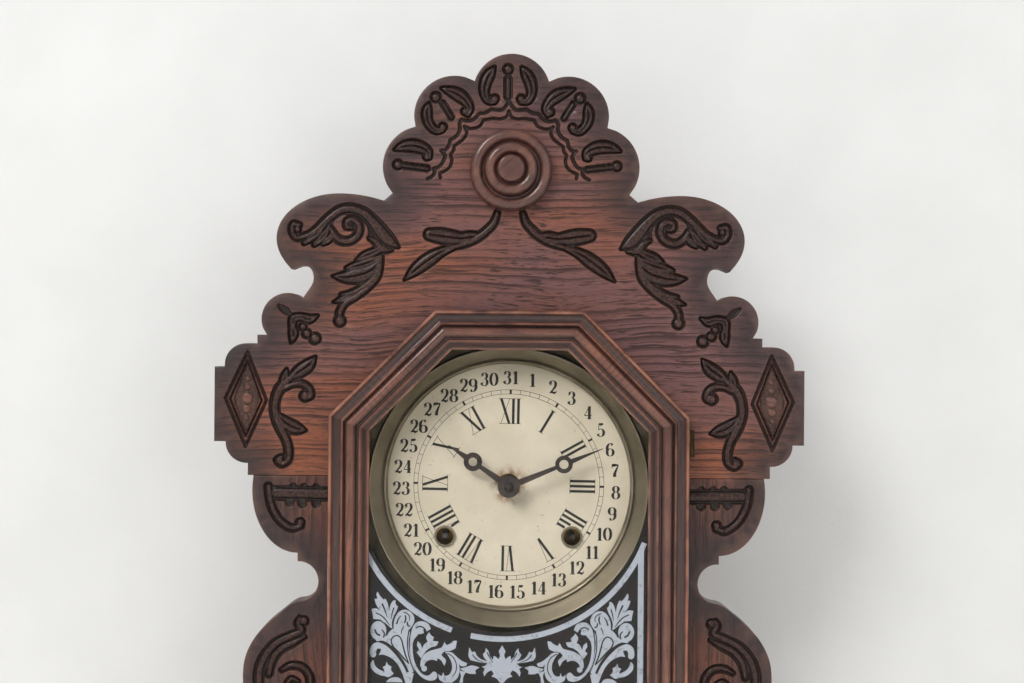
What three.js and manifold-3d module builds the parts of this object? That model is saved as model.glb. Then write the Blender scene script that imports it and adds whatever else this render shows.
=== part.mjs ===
// Pressed-oak kitchen shelf clock: carved boards on a box case, octagon-top door, striking movement.
// Millimetres, +Z up. x runs right, y runs back from the face of the front boards, z up from the shelf.

import * as THREE from 'three';
import { mergeVertices } from 'three/addons/utils/BufferGeometryUtils.js';
import Module from 'manifold-3d';

const wasm = await Module();
wasm.setup();

// ---- clearances ----
const seatGap = 0.2;            // between a piece and what carries it
const runGap = 0.3;             // round a pivot or shaft that turns in a hole
const mitreGap = 0.1;           // between the door's mitred rails

// ---- case ----
const boardThickness = 12;
const caseMargin = 2.8;         // case sides beyond the door's edges
const backRoom = 3;             // between the gong's hammer and the back board
const panelThickness = 9;
const dialHeadroom = 17;        // from the dial's flange up to the case top
const backThickness = 6;
const floorHeight = 14;         // underside of the case bottom above the shelf

// ---- dial ----
const dialHeight = 297;
const paperRadius = 76;
const paperDepth = 17.5;        // front of the paper behind the board face
const paperThickness = 0.5;
const panThickness = 0.8;
const panMargin = 11.5;         // from the paper's edge to the pan's wall
const panFlangeWidth = 4.5;
const panFlangeDepth = 12.7;
const centreHoleRadius = 7.1;
const windingX = 39.3;
const windingZ = -32;
const grommetRadius = 6.8;
const grommetBore = 5.4;
const grommetTube = 6;
const grommetRise = 0.8;
const grommetLap = 0.4;         // tube of a grommet behind the pan
const bezelLip = 1;             // ring's bead over the paper
const bezelBead = 1.5;
const bezelCone = 8;            // reach of its sloping face beyond the paper's edge
const bezelFront = 3;
const bezelSheet = 0.8;
const bezelCurl = 2.4;          // rolled front edge
const stripDepth = 8;
const stripHalfHeight = 47;

// ---- front boards, right half, from the middle line ----
const boardJoint = 303.8;       // headboard on wings
const baseTop = 90;             // wings on base board
const openingMargin = 5;        // octagon opening beyond the pan's flange
const topLobe = { x: 0, z: 536.5, r: 23.5 };
const upperLobe = { x: 34.5, z: 521.9, r: 24.5 };
const lowerLobe = { x: 52.9, z: 491.2, r: 24.8 };
const neckFoot = { x: 76.9, z: 470.5 };
const ear = { x: 103.5, z: 447.4, rx: 38.2, rz: 27.3 };
const earTip = { x: 132.7, z: 428.7 };
const notchTop = { x: 126, z: 430.9 };
const notchIn = { x: 119.1, z: 423 };
const notchFoot = { x: 125.5, z: 410.9 };
const smallLobe = { x: 134.5, z: 398.3, r: 15.9 };
const stepInner = 153.5;        // steps beside the quarter rounds
const stepOuter = 178.5;        // widest point of the clock
const stepHeight = 5.4;
const cornerRadius = 12.8;
const cornerInset = 6.1;
const shoulderLift = 0.7;
const roundRise = 1.4;          // the upper quarter round's middle above the square
const roundDrop = 0.2;          // the lower one's below it
const roundOver = 0.8;
const smallLobeEnd = -39.3;     // where the small lobe leaves its circle, in degrees
const squareTop = 369.3;
const squareFoot = 324.1;
const headFoot = 158;

// ---- wings ----
const wingTop = 154.5;
const wingLobe = { x: 127.5, z: 295, rx: 27.7, rz: 38.1 };
const wingCove = { x: 126.8, r: 12 };
const wingStep = 5.1;
const wingBelly = { x: 160, z: 184 };
const wingWaist = { x: 125.2, z: 225.2 };
const wingLowerWaist = { x: 128, z: 133 };
const wingPull = { waistX: 8, waistZ: 12, bellyUp: 14, bellyDown: 26, lowerX: 22, lowerZ: 8 };

// ---- base board ----
const footArchHalf = 84;
const footArchHeight = 14;
const footArchRadius = 10;
const footSquareTop = 60;
const footSquareFoot = 22;

// ---- rosette ----
const rosetteHeight = 489;
const rosetteRadius = 25;
const rosetteRise = 12.4;

// ---- door ----
const doorGap = 0.6;            // door back in front of the boards
const doorLap = 10.2;           // door over the edge of the opening
const doorFoot = 80;
const railWidth = 23.5;
const railHeight = 14.8;
const rebateWidth = 6;          // seat of the glass along the inner edge
const glassThickness = 2;
const glassDepth = 2.3;         // from the door's back to the glass
const hingeAboveFoot = 30;
const hingeAboveDial = 28;
const hingeRadius = 2;
const hingeOffset = 2.4;        // pin line outside the door's edge
const hingePin = 0.9;
const hingeHalfHeight = 8;
const hingeMiddle = 2.6;
const hingeLeafWidth = 10;
const hingeNeckHalf = 0.8;
const hingeTongue = 0.5;        // the tongue's front before the knuckle
const strapSetback = 4;         // the strap's front edge behind the door's face
const leafThickness = 0.35;
const doorLeafThickness = 0.7;
const knobInset = 13.7;         // from the door's edge to the knob's axis
const knobHeight = 150;
const knobRadius = 6.4;
const knobReach = 10;
const latchShaft = 2.2;
const latchReach = 7;
const latchHalfWidth = 2.5;
const latchThickness = 1.5;
const latchRoom = 1;            // latch behind the boards

// ---- hands ----
const minuteHandDepth = 7;
const handThickness = 0.8;
const hourHandDepth = 10;
const minuteHand = { length: 62.2, ring: 36.4, outer: 5.4, inner: 2.9, angle: 67.5 };
const hourHand = { length: 45, ring: 26.6, outer: 5.7, inner: 2.7, angle: 303.6 };
const handHub = 6.7;
const handRoot = 2.3;           // half widths of a blade: at the hub, under the ring and over it
const handNeck = 1.4;
const handShoulder = 1.5;
const minuteArbor = 1.2;
const hourPipe = 3;
const nutRadius = 3;
const nutHeight = 2.4;
const pipeReach = 0.6;          // hour pipe in front of its hand

// ---- movement: plates ----
const plateHalfWidth = 53;
const plateTop = 60;
const plateFoot = -68;
const plateThickness = 1.5;
const frontPlateDepth = 30;
const plateSpacing = 35;
const pillarRadius = 3;
const pillarTenon = 1.6;
const tenonReach = 1.2;         // tenon in front of the front plate
const jointLap = 0.5;           // two parts of one solid run into each other by this
const lowerPillar = { x: 48, z: -63 };
const upperPillar = { x: 46, z: 54 };
const pivotRadius = 0.6;
const arborRadius = 0.8;        // arbors with the finest pinions
const stoutArbor = 1.4;         // second arbors, verge and hammer
const centreTube = 2.2;
const motionStud = 1;
const plateEye = { x: 0, z: -30, r: 7 };
const blockInner = 44;
const blockOuter = 56;

// ---- movement: wheels, as teeth, module and thickness ----
const greatWheel = { teeth: 44, module: 1.2, thickness: 2, backRoom: 8.3 };
const secondWheel = { teeth: 40, module: 1, thickness: 1.4, depth: 1.7 };
const centreWheel = { teeth: 60, module: 0.6, thickness: 1, depth: 6.5 };
const thirdWheel = { teeth: 60, module: 0.5, thickness: 1, depth: 12.5 };
const escapeWheel = { teeth: 42, radius: 13, thickness: 1, depth: 18.5 };
const strikeSecondWheel = { teeth: 34, module: 1, thickness: 1.4, depth: 1.7 };
const hammerWheel = { teeth: 42, module: 0.7, thickness: 1.2, depth: 10 };
const motionWheel = { teeth: 36, module: 0.8, thickness: 1, depth: 4.3 };
const hourWheel = { teeth: 32, module: 0.96, thickness: 1.2, depth: 8 };
const secondLeaves = 7;
const centreLeaves = 8;
const thirdLeaves = 6;
const escapeLeaves = 6;
const hammerLeaves = 8;
const flyLeaves = 6;
const cannonLeaves = 12;
const motionLeaves = 8;
const fineModule = 1.1;         // at or under this a tooth comes to a point
const toothRoot = 1.25;         // shares of the module
const toothTip = 0.3;
const pinShare = 0.36;
const shroudShare = 0.65;
const rimShare = 0.84;          // shares of a wheel's pitch radius
const hubShare = 0.33;
const spokeShare = 0.16;
const fullTurn = 360;
const halfTurn = 180;
const shroudThickness = 0.7;
const shroudRoom = 0.8;         // between a wheel and the shrouds of its pinion
const escapeHeight = 32;
const motionDirection = -30;
const hammerWheelDirection = 113;
const flyDirection = 73;
const flyRadius = 10;
const flyLength = 14;
const flyThickness = 0.6;
const flyRoom = 4;              // between the hammer wheel and the fly's vane
const tubeOverhang = 4;         // centre tube behind its wheel

// ---- movement: springs and winding ----
const windingArbor = 2;
const windingSquare = 3.2;
const squareSetback = 1.5;      // its end behind the paper's face
const ratchetTeeth = 12;
const ratchetRadius = 8;
const ratchetThickness = 1.3;
const ratchetDepth = 1.6;
const ratchetLean = 0.12;       // share of a tooth's pitch
const clickReach = 5;
const spiralSteps = 24;         // a turn
const springLeave = 62;         // degrees from a spring's last turn round to its pillar
const springTurns = 4;
const springInner = 6;
const springOuter = 25;
const springStrip = 0.7;
const springFrontRoom = 4.5;

// ---- pendulum, verge and gong ----
const vergeHeight = 52;
const palletAngle = 38;         // each pallet from the upright line, in degrees
const palletArm = 1.3;
const anchorHalf = 2.4;
const crutchRoom = 4;           // behind the back plate
const crutchWidth = 1.8;
const crutchThickness = 1.2;
const forkRoom = 0.4;           // beside the rod
const forkBar = 1.4;
const suspensionHeight = 60;
const forkHeight = -10;
const pendulumDepth = 8;        // rod behind the back plate
const rodRadius = 0.9;
const bobRadius = 22;
const bobThickness = 9;
const bobHeight = 172;
const palletClearance = 1.3;
const suspensionHalf = 0.15;    // thickness of the suspension spring, halved
const springHalfWidth = 1.8;
const suspensionLength = 16;
const cockHalf = 4;
const cockSlot = 0.5;
const cockPlay = 0.9;
const ratingRoom = 3;           // rating nut under the bob
const ratingHeight = 3;
const ratingRadius = 2.4;
const gongHeight = 112;
const gongDepth = 22;           // behind the back plate
const gongWire = 1.4;
const gongTurns = 3;
const gongInner = 14;
const gongOuter = 42;
const gongPost = 8;
const postCap = 3;
const postFlange = 5;
const hammerX = -14;
const hammerZ = -52;
const hammerWire = 1;
const hammerHead = 4.2;
const hammerHeadLength = 9;
const hammerGap = 1;

// ---- places that follow from the sizes above ----
const doorBack = -doorGap;
const doorFront = doorBack - railHeight;
const sideFront = boardThickness + seatGap;
const knobFront = doorFront - knobReach;
const frontPlateBack = frontPlateDepth + plateThickness;
const backPlateFront = frontPlateBack + plateSpacing;
const backPlateBack = backPlateFront + plateThickness;
const pendulumY = backPlateBack + pendulumDepth;
const gongY = backPlateBack + gongDepth;
const backBoardFront = gongY + hammerHead + backRoom;
const backBoardBack = backBoardFront + seatGap + backThickness;
const octagonShare = Math.tan(Math.PI / 8);
const panWallRadius = paperRadius + panMargin;
const panFlangeRadius = panWallRadius + panFlangeWidth;
const openingApothem = panFlangeRadius + openingMargin;
const doorApothem = openingApothem + doorLap;
const caseHalfWidth = doorApothem + caseMargin;
const knobX = knobInset - doorApothem;
const caseHeight = dialHeight + panFlangeRadius + dialHeadroom + panelThickness;
const hingeHeights = { lower: doorFoot + hingeAboveFoot, upper: dialHeight + hingeAboveDial };
const leafFront = -seatGap / 2 - leafThickness;
const hingeAxis = { x: doorApothem + hingeOffset, y: leafFront - seatGap - hingeRadius };
const clockMiddle = (knobFront + backBoardBack) / 2;

// ================= small tools =================

function clean(geometry) {
  // merges shared corners, drops empty triangles and turns the faces outwards
  const bare = geometry.clone();
  bare.deleteAttribute('normal');
  bare.deleteAttribute('uv');
  const merged = mergeVertices(bare, 1e-4);
  const place = merged.getAttribute('position');
  const index = merged.getIndex();
  const kept = [];
  let volume = 0;
  const [a, b, c] = [new THREE.Vector3(), new THREE.Vector3(), new THREE.Vector3()];
  for (let i = 0; i < index.count; i += 3) {
    const corner = [index.getX(i), index.getX(i + 1), index.getX(i + 2)];
    if (corner[0] === corner[1] || corner[1] === corner[2] || corner[2] === corner[0]) continue;
    a.fromBufferAttribute(place, corner[0]);
    b.fromBufferAttribute(place, corner[1]);
    c.fromBufferAttribute(place, corner[2]);
    volume += a.dot(b.cross(c));
    kept.push(...corner);
  }
  if (volume < 0) kept.reverse();
  merged.setIndex(kept);
  return merged;
}

function toSolid(geometry) {
  const merged = clean(geometry);
  return new wasm.Manifold(new wasm.Mesh({
    numProp: 3,
    vertProperties: new Float32Array(merged.getAttribute('position').array),
    triVerts: new Uint32Array(merged.getIndex().array),
  }));
}

function fromSolid(solid) {
  const mesh = solid.getMesh();
  const geometry = new THREE.BufferGeometry();
  const place = new Float32Array(mesh.numVert * 3);
  for (let i = 0; i < mesh.numVert; i += 1) {
    for (let k = 0; k < 3; k += 1) place[3 * i + k] = mesh.vertProperties[i * mesh.numProp + k];
  }
  geometry.setAttribute('position', new THREE.BufferAttribute(place, 3));
  geometry.setIndex(new THREE.BufferAttribute(new Uint32Array(mesh.triVerts), 1));
  return geometry;
}

function join(...pieces) {
  return fromSolid(pieces.map(toSolid).reduce((whole, piece) => whole.add(piece)));
}

function cut(body, ...tools) {
  return fromSolid(tools.map(toSolid).reduce((rest, tool) => rest.subtract(tool), toSolid(body)));
}

function box(x0, x1, y0, y1, z0, z1) {
  const geometry = new THREE.BoxGeometry(x1 - x0, y1 - y0, z1 - z0);
  return geometry.translate((x0 + x1) / 2, (y0 + y1) / 2, (z0 + z1) / 2);
}

function rod(radius, y0, y1, sides = 12, x = 0, z = 0) {
  const geometry = new THREE.CylinderGeometry(radius, radius, y1 - y0, sides);
  return geometry.translate(x, (y0 + y1) / 2, z);
}

function upright(radius, z0, z1, sides, x, y) {
  const geometry = new THREE.CylinderGeometry(radius, radius, z1 - z0, sides);
  return geometry.rotateX(Math.PI / 2).translate(x, y, (z0 + z1) / 2);
}

function turned(profile, sides) {
  // profile holds [radius, y] points, and the axis of the work is y
  return new THREE.LatheGeometry(profile.map(([r, y]) => new THREE.Vector2(r, y)), sides);
}

function ring(profile, sides) {
  return turned([...profile, profile[0]], sides);
}

function slab(points, y0, y1, holes = []) {
  // an outline of Vector2 (x, z) points as a board between y0 and y1
  const shape = new THREE.Shape(points);
  shape.holes = holes.map((hole) => new THREE.Path(hole));
  const geometry = new THREE.ExtrudeGeometry(shape, { depth: y1 - y0, bevelEnabled: false });
  return geometry.rotateX(Math.PI / 2).translate(0, y1, 0);
}

function point(x, z) {
  return new THREE.Vector2(x, z);
}

function polar(radius, degrees, centre = { x: 0, z: 0 }) {
  const angle = THREE.MathUtils.degToRad(degrees);
  return point(centre.x + radius * Math.cos(angle), centre.z + radius * Math.sin(angle));
}

function circle(radius, sides, centre = { x: 0, z: 0 }, turn = 0) {
  return Array.from({ length: sides }, (_, i) => polar(radius, turn + (fullTurn * i) / sides, centre));
}

function meeting(a, ra, b, rb, side) {
  // the point at ra from a and rb from b, on the left (1) or right (-1) of the way from a to b
  const dx = b.x - a.x;
  const dz = b.z - a.z;
  const gap = Math.hypot(dx, dz);
  const along = (ra * ra - rb * rb + gap * gap) / (2 * gap);
  const off = side * Math.sqrt(Math.max(0, ra * ra - along * along));
  return { x: a.x + (along * dx - off * dz) / gap, z: a.z + (along * dz + off * dx) / gap };
}

function direction(from, to) {
  return THREE.MathUtils.radToDeg(Math.atan2(to.z - from.z, to.x - from.x));
}

function sweep(path, form, x, z, clockwise) {
  // carries the path round a circle or an ellipse, from where it is to beside (x, z)
  const rx = form.rx ?? form.r;
  const rz = form.rz ?? form.r;
  const from = Math.atan2((path.currentPoint.y - form.z) / rz, (path.currentPoint.x - form.x) / rx);
  const to = Math.atan2((z - form.z) / rz, (x - form.x) / rx);
  path.absellipse(form.x, form.z, rx, rz, from, to, clockwise);
}

function mirrored(points) {
  return points.map((p) => point(-p.x, p.y)).reverse();
}

function middleOutline(half) {
  // a half outline from the middle line round to the middle line, closed by its mirror image
  return half.concat(mirrored(half)).filter((p, i, all) => p.distanceTo(all[(i + 1) % all.length]) > 1e-3);
}

function tubeAlong(points, section, steps) {
  const curve = new THREE.CatmullRomCurve3(points, false, 'centripetal');
  const shape = new THREE.Shape(section);
  return new THREE.ExtrudeGeometry(shape, { steps, extrudePath: curve, bevelEnabled: false });
}

// ================= materials =================

const finishes = {
  boardOak: { color: 0x6b4438, roughness: 0.42, metalness: 0 },
  doorOak: { color: 0x4e2f29, roughness: 0.38, metalness: 0 },
  caseWood: { color: 0x4a3227, roughness: 0.6, metalness: 0 },
  plainWood: { color: 0x8d6c48, roughness: 0.8, metalness: 0 },
  glass: { color: 0x2a2c2c, roughness: 0.08, metalness: 0 },
  bezelBrass: { color: 0x85806a, roughness: 0.45, metalness: 0.85 },
  darkBrass: { color: 0x5c4a2c, roughness: 0.5, metalness: 0.9 },
  brass: { color: 0xb08d4a, roughness: 0.35, metalness: 1 },
  steel: { color: 0x77787a, roughness: 0.35, metalness: 1 },
  handSteel: { color: 0x3a3532, roughness: 0.5, metalness: 0.6 },
  tin: { color: 0x8a8880, roughness: 0.5, metalness: 0.9 },
  paper: { color: 0xd5c9ae, roughness: 0.85, metalness: 0 },
};

function piece(name, geometry, finish, parent, x = 0, y = 0, z = 0) {
  const mesh = new THREE.Mesh(clean(geometry), new THREE.MeshStandardMaterial(finishes[finish]));
  mesh.name = name;
  mesh.position.set(x, y, z);
  parent.add(mesh);
  return mesh;
}

const clock = new THREE.Group();
const carcass = new THREE.Group();
const door = new THREE.Group();
const dial = new THREE.Group();
const movement = new THREE.Group();
clock.position.y = -clockMiddle;
dial.position.z = dialHeight;
movement.position.z = dialHeight;
clock.add(carcass, door, dial, movement);

// ================= front boards =================

function octagonCorner(apothem) {
  return { x: apothem * octagonShare, z: dialHeight + apothem };
}

function stepCorner(path, top, foot, footHalf) {
  // quarter round over a square shoulder, and its mirror image below
  path.lineTo(stepInner, top + cornerRadius + cornerInset - stepHeight + shoulderLift);
  const upper = { x: stepInner + cornerInset, z: top + roundRise, r: cornerRadius };
  path.lineTo(stepInner, upper.z + cornerRadius);
  path.lineTo(upper.x, upper.z + cornerRadius);
  sweep(path, upper, upper.x + cornerRadius, upper.z, true);
  path.lineTo(upper.x + cornerRadius, top);
  path.lineTo(stepOuter, top);
  path.lineTo(stepOuter, foot);
  const lower = { x: footHalf + roundOver, z: foot - roundDrop, r: cornerRadius };
  path.lineTo(lower.x + cornerRadius, foot);
  sweep(path, lower, lower.x, lower.z - cornerRadius, true);
  path.lineTo(footHalf, lower.z - cornerRadius);
}

function headboardOutline() {
  const arch = octagonCorner(openingApothem);
  const path = new THREE.Path();
  const valleyA = meeting(topLobe, topLobe.r, upperLobe, upperLobe.r, 1);
  const valleyB = meeting(upperLobe, upperLobe.r, lowerLobe, lowerLobe.r, 1);
  path.moveTo(0, topLobe.z + topLobe.r);
  sweep(path, topLobe, valleyA.x, valleyA.z, true);
  sweep(path, upperLobe, valleyB.x, valleyB.z, true);
  sweep(path, lowerLobe, neckFoot.x, neckFoot.z, true);
  path.lineTo(neckFoot.x, neckFoot.z);
  path.quadraticCurveTo((neckFoot.x + ear.x) / 2, ear.z + ear.rz, ear.x, ear.z + ear.rz);
  sweep(path, ear, ear.x + ear.rx, ear.z, true);
  path.quadraticCurveTo(ear.x + ear.rx, (ear.z + earTip.z) / 2, earTip.x, earTip.z);
  path.lineTo(notchTop.x, notchTop.z);
  path.quadraticCurveTo(notchIn.x, notchTop.z, notchIn.x, notchIn.z);
  path.lineTo(notchFoot.x, notchFoot.z);
  const lobeEnd = polar(smallLobe.r, smallLobeEnd, smallLobe);
  sweep(path, smallLobe, lobeEnd.x, lobeEnd.y, true);
  stepCorner(path, squareTop, squareFoot, headFoot);
  path.lineTo(headFoot, boardJoint);
  path.lineTo(openingApothem, boardJoint);
  path.lineTo(openingApothem, dialHeight + openingApothem * octagonShare);
  path.lineTo(arch.x, arch.z);
  return middleOutline(path.getPoints(4));
}

function wingOutline() {
  const top = boardJoint - seatGap;
  const foot = baseTop + seatGap;
  const coveTop = wingLobe.z - wingLobe.rz - wingStep;
  const cove = { x: wingCove.x, z: coveTop - wingCove.r, r: wingCove.r };
  const path = new THREE.Path();
  path.moveTo(openingApothem, top);
  path.lineTo(wingTop, top);
  sweep(path, wingLobe, wingLobe.x, wingLobe.z - wingLobe.rz, true);
  path.lineTo(wingLobe.x, coveTop);
  sweep(path, cove, cove.x, cove.z - cove.r, false);
  path.bezierCurveTo(wingBelly.x - wingPull.waistX, wingWaist.z - wingPull.waistZ,
    wingBelly.x, wingBelly.z + wingPull.bellyUp, wingBelly.x, wingBelly.z);
  const waist = wingLowerWaist;
  path.bezierCurveTo(wingBelly.x, wingBelly.z - wingPull.bellyDown,
    waist.x + wingPull.lowerX, waist.z + wingPull.lowerZ, waist.x, waist.z);
  path.lineTo(waist.x, waist.z - wingStep);
  const lower = { x: waist.x, z: waist.z - wingStep - wingCove.r, r: wingCove.r };
  sweep(path, lower, lower.x, lower.z - lower.r, false);
  path.lineTo(stepInner, lower.z - lower.r);
  path.lineTo(stepInner, foot);
  path.lineTo(openingApothem, foot);
  return path.getPoints(6);
}

function baseOutline() {
  const path = new THREE.Path();
  path.moveTo(0, baseTop);
  path.lineTo(stepInner, baseTop);
  stepCorner(path, footSquareTop, footSquareFoot, headFoot);
  path.lineTo(headFoot, 0);
  const archEdge = footArchHalf + footArchHeight / 2;
  path.lineTo(footArchHalf + footArchHeight, 0);
  path.quadraticCurveTo(archEdge, 0, archEdge, footArchHeight / 2);
  path.quadraticCurveTo(archEdge, footArchHeight, footArchHalf - footArchRadius, footArchHeight);
  path.lineTo(0, footArchHeight);
  return middleOutline(path.getPoints(5));
}

function frontBoards() {
  piece('headboard', slab(headboardOutline(), 0, boardThickness), 'boardOak', carcass);
  const wing = wingOutline();
  piece('wing_right', slab(wing, 0, boardThickness), 'boardOak', carcass);
  piece('wing_left', slab(mirrored(wing), 0, boardThickness), 'boardOak', carcass);
  piece('base_board', slab(baseOutline(), 0, boardThickness), 'boardOak', carcass);
}

function rosette() {
  const r = rosetteRadius;
  const h = rosetteRise;
  const profile = [
    [0, 0], [r, 0], [r, 0.22 * h], [0.93 * r, 0.48 * h], [0.85 * r, 0.6 * h], [0.76 * r, 0.5 * h],
    [0.7 * r, 0.38 * h], [0.63 * r, 0.55 * h], [0.56 * r, 0.82 * h], [0.48 * r, 0.86 * h],
    [0.37 * r, 0.68 * h], [0.32 * r, 0.94 * h], [0.26 * r, h], [0, h],
  ].map(([radius, rise]) => [radius, -rise - seatGap]);
  piece('rosette', turned(profile, 22), 'boardOak', carcass, 0, 0, rosetteHeight);
}

// ================= box case =================

function boxCase() {
  const y0 = sideFront;
  const y1 = backBoardFront;
  const inner = caseHalfWidth - panelThickness;
  const under = caseHeight - panelThickness;
  const sideTop = under - seatGap;
  piece('case_side_left', box(-caseHalfWidth, -inner, y0, y1, 0, sideTop), 'caseWood', carcass);
  piece('case_side_right', box(inner, caseHalfWidth, y0, y1, 0, sideTop), 'caseWood', carcass);
  piece('case_top', box(-caseHalfWidth, caseHalfWidth, y0, y1, under, caseHeight), 'caseWood', carcass);
  const bottomHalf = inner - seatGap;
  const bottom = box(-bottomHalf, bottomHalf, y0, y1, floorHeight, floorHeight + panelThickness);
  const back = box(-caseHalfWidth, caseHalfWidth, y1 + seatGap, backBoardBack, 0, caseHeight);
  piece('case_bottom', bottom, 'caseWood', carcass);
  piece('case_back', back, 'plainWood', carcass);
}

// ================= door =================

function doorCorners(inset) {
  const apothem = doorApothem - inset;
  const reach = apothem * octagonShare;
  return [
    point(-apothem, doorFoot + inset), point(apothem, doorFoot + inset),
    point(apothem, dialHeight + reach), point(reach, dialHeight + apothem),
    point(-reach, dialHeight + apothem), point(-apothem, dialHeight + reach),
  ];
}

function railProfile() {
  // [distance in from the door's edge, height over its back]
  const w = railWidth;
  const h = railHeight;
  const rebate = w - rebateWidth;
  const seat = glassDepth + glassThickness + seatGap;
  const bead = Array.from({ length: 5 }, (_, i) => {
    const angle = Math.PI * (0.95 - 0.2 * i);
    return [w * 0.555 + 0.075 * w * Math.cos(angle), h * 0.8 + 0.2 * h * Math.sin(angle)];
  });
  const ogee = Array.from({ length: 4 }, (_, i) => [
    w * (0.745 + 0.07 * i), h * (0.75 - 0.12 * i + 0.03 * Math.sin((i * Math.PI) / 1.5)),
  ]);
  return [
    [0, 0], [0, 0.93 * h], [0.03 * w, 0.98 * h], [0.077 * w, 0.98 * h], [0.15 * w, 0.85 * h],
    [0.24 * w, 0.82 * h], [0.31 * w, 0.86 * h], [0.32 * w, 0.9 * h], [0.37 * w, 0.9 * h],
    [0.38 * w, 0.76 * h], [0.45 * w, 0.76 * h], ...bead, [0.7 * w, 0.69 * h], ...ogee,
    [w, seat + jointLap], [w, seat], [rebate, seat], [rebate, 0],
  ];
}

function mitredRail(from, to) {
  // one rail of the door frame, its ends on the mitres of the outline's corners
  const profile = railProfile();
  const place = [];
  const index = [];
  const count = profile.length;
  for (const [inset, height] of profile) {
    const corners = doorCorners(inset);
    const along = corners[to].clone().sub(corners[from]).normalize().multiplyScalar(mitreGap / 2);
    const start = corners[from].clone().add(along);
    const end = corners[to].clone().sub(along);
    place.push(start.x, doorBack - height, start.y, end.x, doorBack - height, end.y);
  }
  for (let i = 0; i < count; i += 1) {
    const next = (i + 1) % count;
    index.push(2 * i, 2 * next, 2 * i + 1, 2 * next, 2 * next + 1, 2 * i + 1);
  }
  const flat = profile.map(([w, h]) => new THREE.Vector2(w, h));
  for (const face of THREE.ShapeUtils.triangulateShape(flat, [])) {
    if (THREE.ShapeUtils.area(face.map((i) => flat[i])) < 0) face.reverse();
    const [a, b, c] = face;
    index.push(2 * a, 2 * b, 2 * c, 2 * a + 1, 2 * c + 1, 2 * b + 1);
  }
  const geometry = new THREE.BufferGeometry();
  geometry.setAttribute('position', new THREE.Float32BufferAttribute(place, 3));
  geometry.setIndex(index);
  return clean(geometry);
}

function doorFrame() {
  const latchHole = rod(latchShaft + runGap, doorFront - 1, 1, 12, knobX, knobHeight);
  piece('door_rail_bottom', mitredRail(0, 1), 'doorOak', door);
  piece('door_stile_right', mitredRail(1, 2), 'doorOak', door);
  piece('door_rail_upper_right', mitredRail(2, 3), 'doorOak', door);
  piece('door_rail_top', mitredRail(3, 4), 'doorOak', door);
  piece('door_rail_upper_left', mitredRail(4, 5), 'doorOak', door);
  piece('door_stile_left', cut(mitredRail(5, 0), latchHole), 'doorOak', door);
  const edge = railWidth - rebateWidth + seatGap;
  const glassBack = doorBack - glassDepth;
  piece('door_glass', slab(doorCorners(edge), glassBack - glassThickness, glassBack), 'glass', door);
  piece('glazing_bead', slab(doorCorners(edge), glassBack + seatGap, doorBack - seatGap,
    [doorCorners(edge + 0.6 * rebateWidth)]), 'doorOak', door);
}

function hinge(which) {
  const z = hingeHeights[which];
  const { x, y } = hingeAxis;
  const knuckle = (z0, z1) => upright(hingeRadius, z + z0, z + z1, 10, x, y);
  const bore = upright(hingePin + runGap, z - 2 * hingeHalfHeight, z + 2 * hingeHalfHeight, 8, x, y);
  const neckRight = x + hingeNeckHalf;
  const gap = hingeMiddle + runGap;
  const leafBack = leafFront + leafThickness;
  const neck = (z0, z1) => box(x - hingeNeckHalf, neckRight, y, leafBack, z + z0, z + z1);
  const plate = box(x - hingeLeafWidth, neckRight, leafFront, leafBack,
    z - hingeHalfHeight, z + hingeHalfHeight);
  const caseLeaf = cut(join(knuckle(-hingeHalfHeight, -gap), neck(-hingeHalfHeight, -gap),
    knuckle(gap, hingeHalfHeight), neck(gap, hingeHalfHeight), plate), bore);
  piece(`hinge_${which}_case_leaf`, caseLeaf, 'darkBrass', carcass);
  const edge = doorApothem + seatGap;
  const strapBack = y - hingeRadius - runGap;
  const strap = box(edge, edge + doorLeafThickness, doorFront + strapSetback, strapBack,
    z - hingeHalfHeight, z + hingeHalfHeight);
  const tongue = box(edge, x, strapBack - hingeTongue, y, z - hingeMiddle, z + hingeMiddle);
  const pin = upright(hingePin, z - hingeHalfHeight, z + hingeHalfHeight, 8, x, y);
  const doorLeaf = join(strap, tongue, knuckle(-hingeMiddle, hingeMiddle), pin);
  piece(`hinge_${which}_door_leaf`, doorLeaf, 'darkBrass', door);
}

function latch() {
  const shoulder = doorFront - seatGap;
  const r = knobRadius;
  const n = knobReach;
  const back = boardThickness + latchRoom;
  const profile = [
    [0, knobFront], [0.5 * r, knobFront + 0.02 * n], [0.88 * r, knobFront + 0.18 * n],
    [r, knobFront + 0.42 * n], [0.84 * r, knobFront + 0.64 * n], [0.45 * r, knobFront + 0.74 * n],
    [0.42 * r, shoulder - 0.14 * n], [0.75 * r, shoulder - 0.1 * n], [0.75 * r, shoulder],
    [latchShaft, shoulder],
    [latchShaft, back + latchThickness], [0, back + latchThickness],
  ];
  const tongue = box(-latchHalfWidth, latchHalfWidth, back, back + latchThickness,
    -latchHalfWidth, latchReach);
  piece('latch_knob', join(turned(profile, 14), tongue), 'darkBrass', door, knobX, 0, knobHeight);
}

// ================= dial =================

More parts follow.
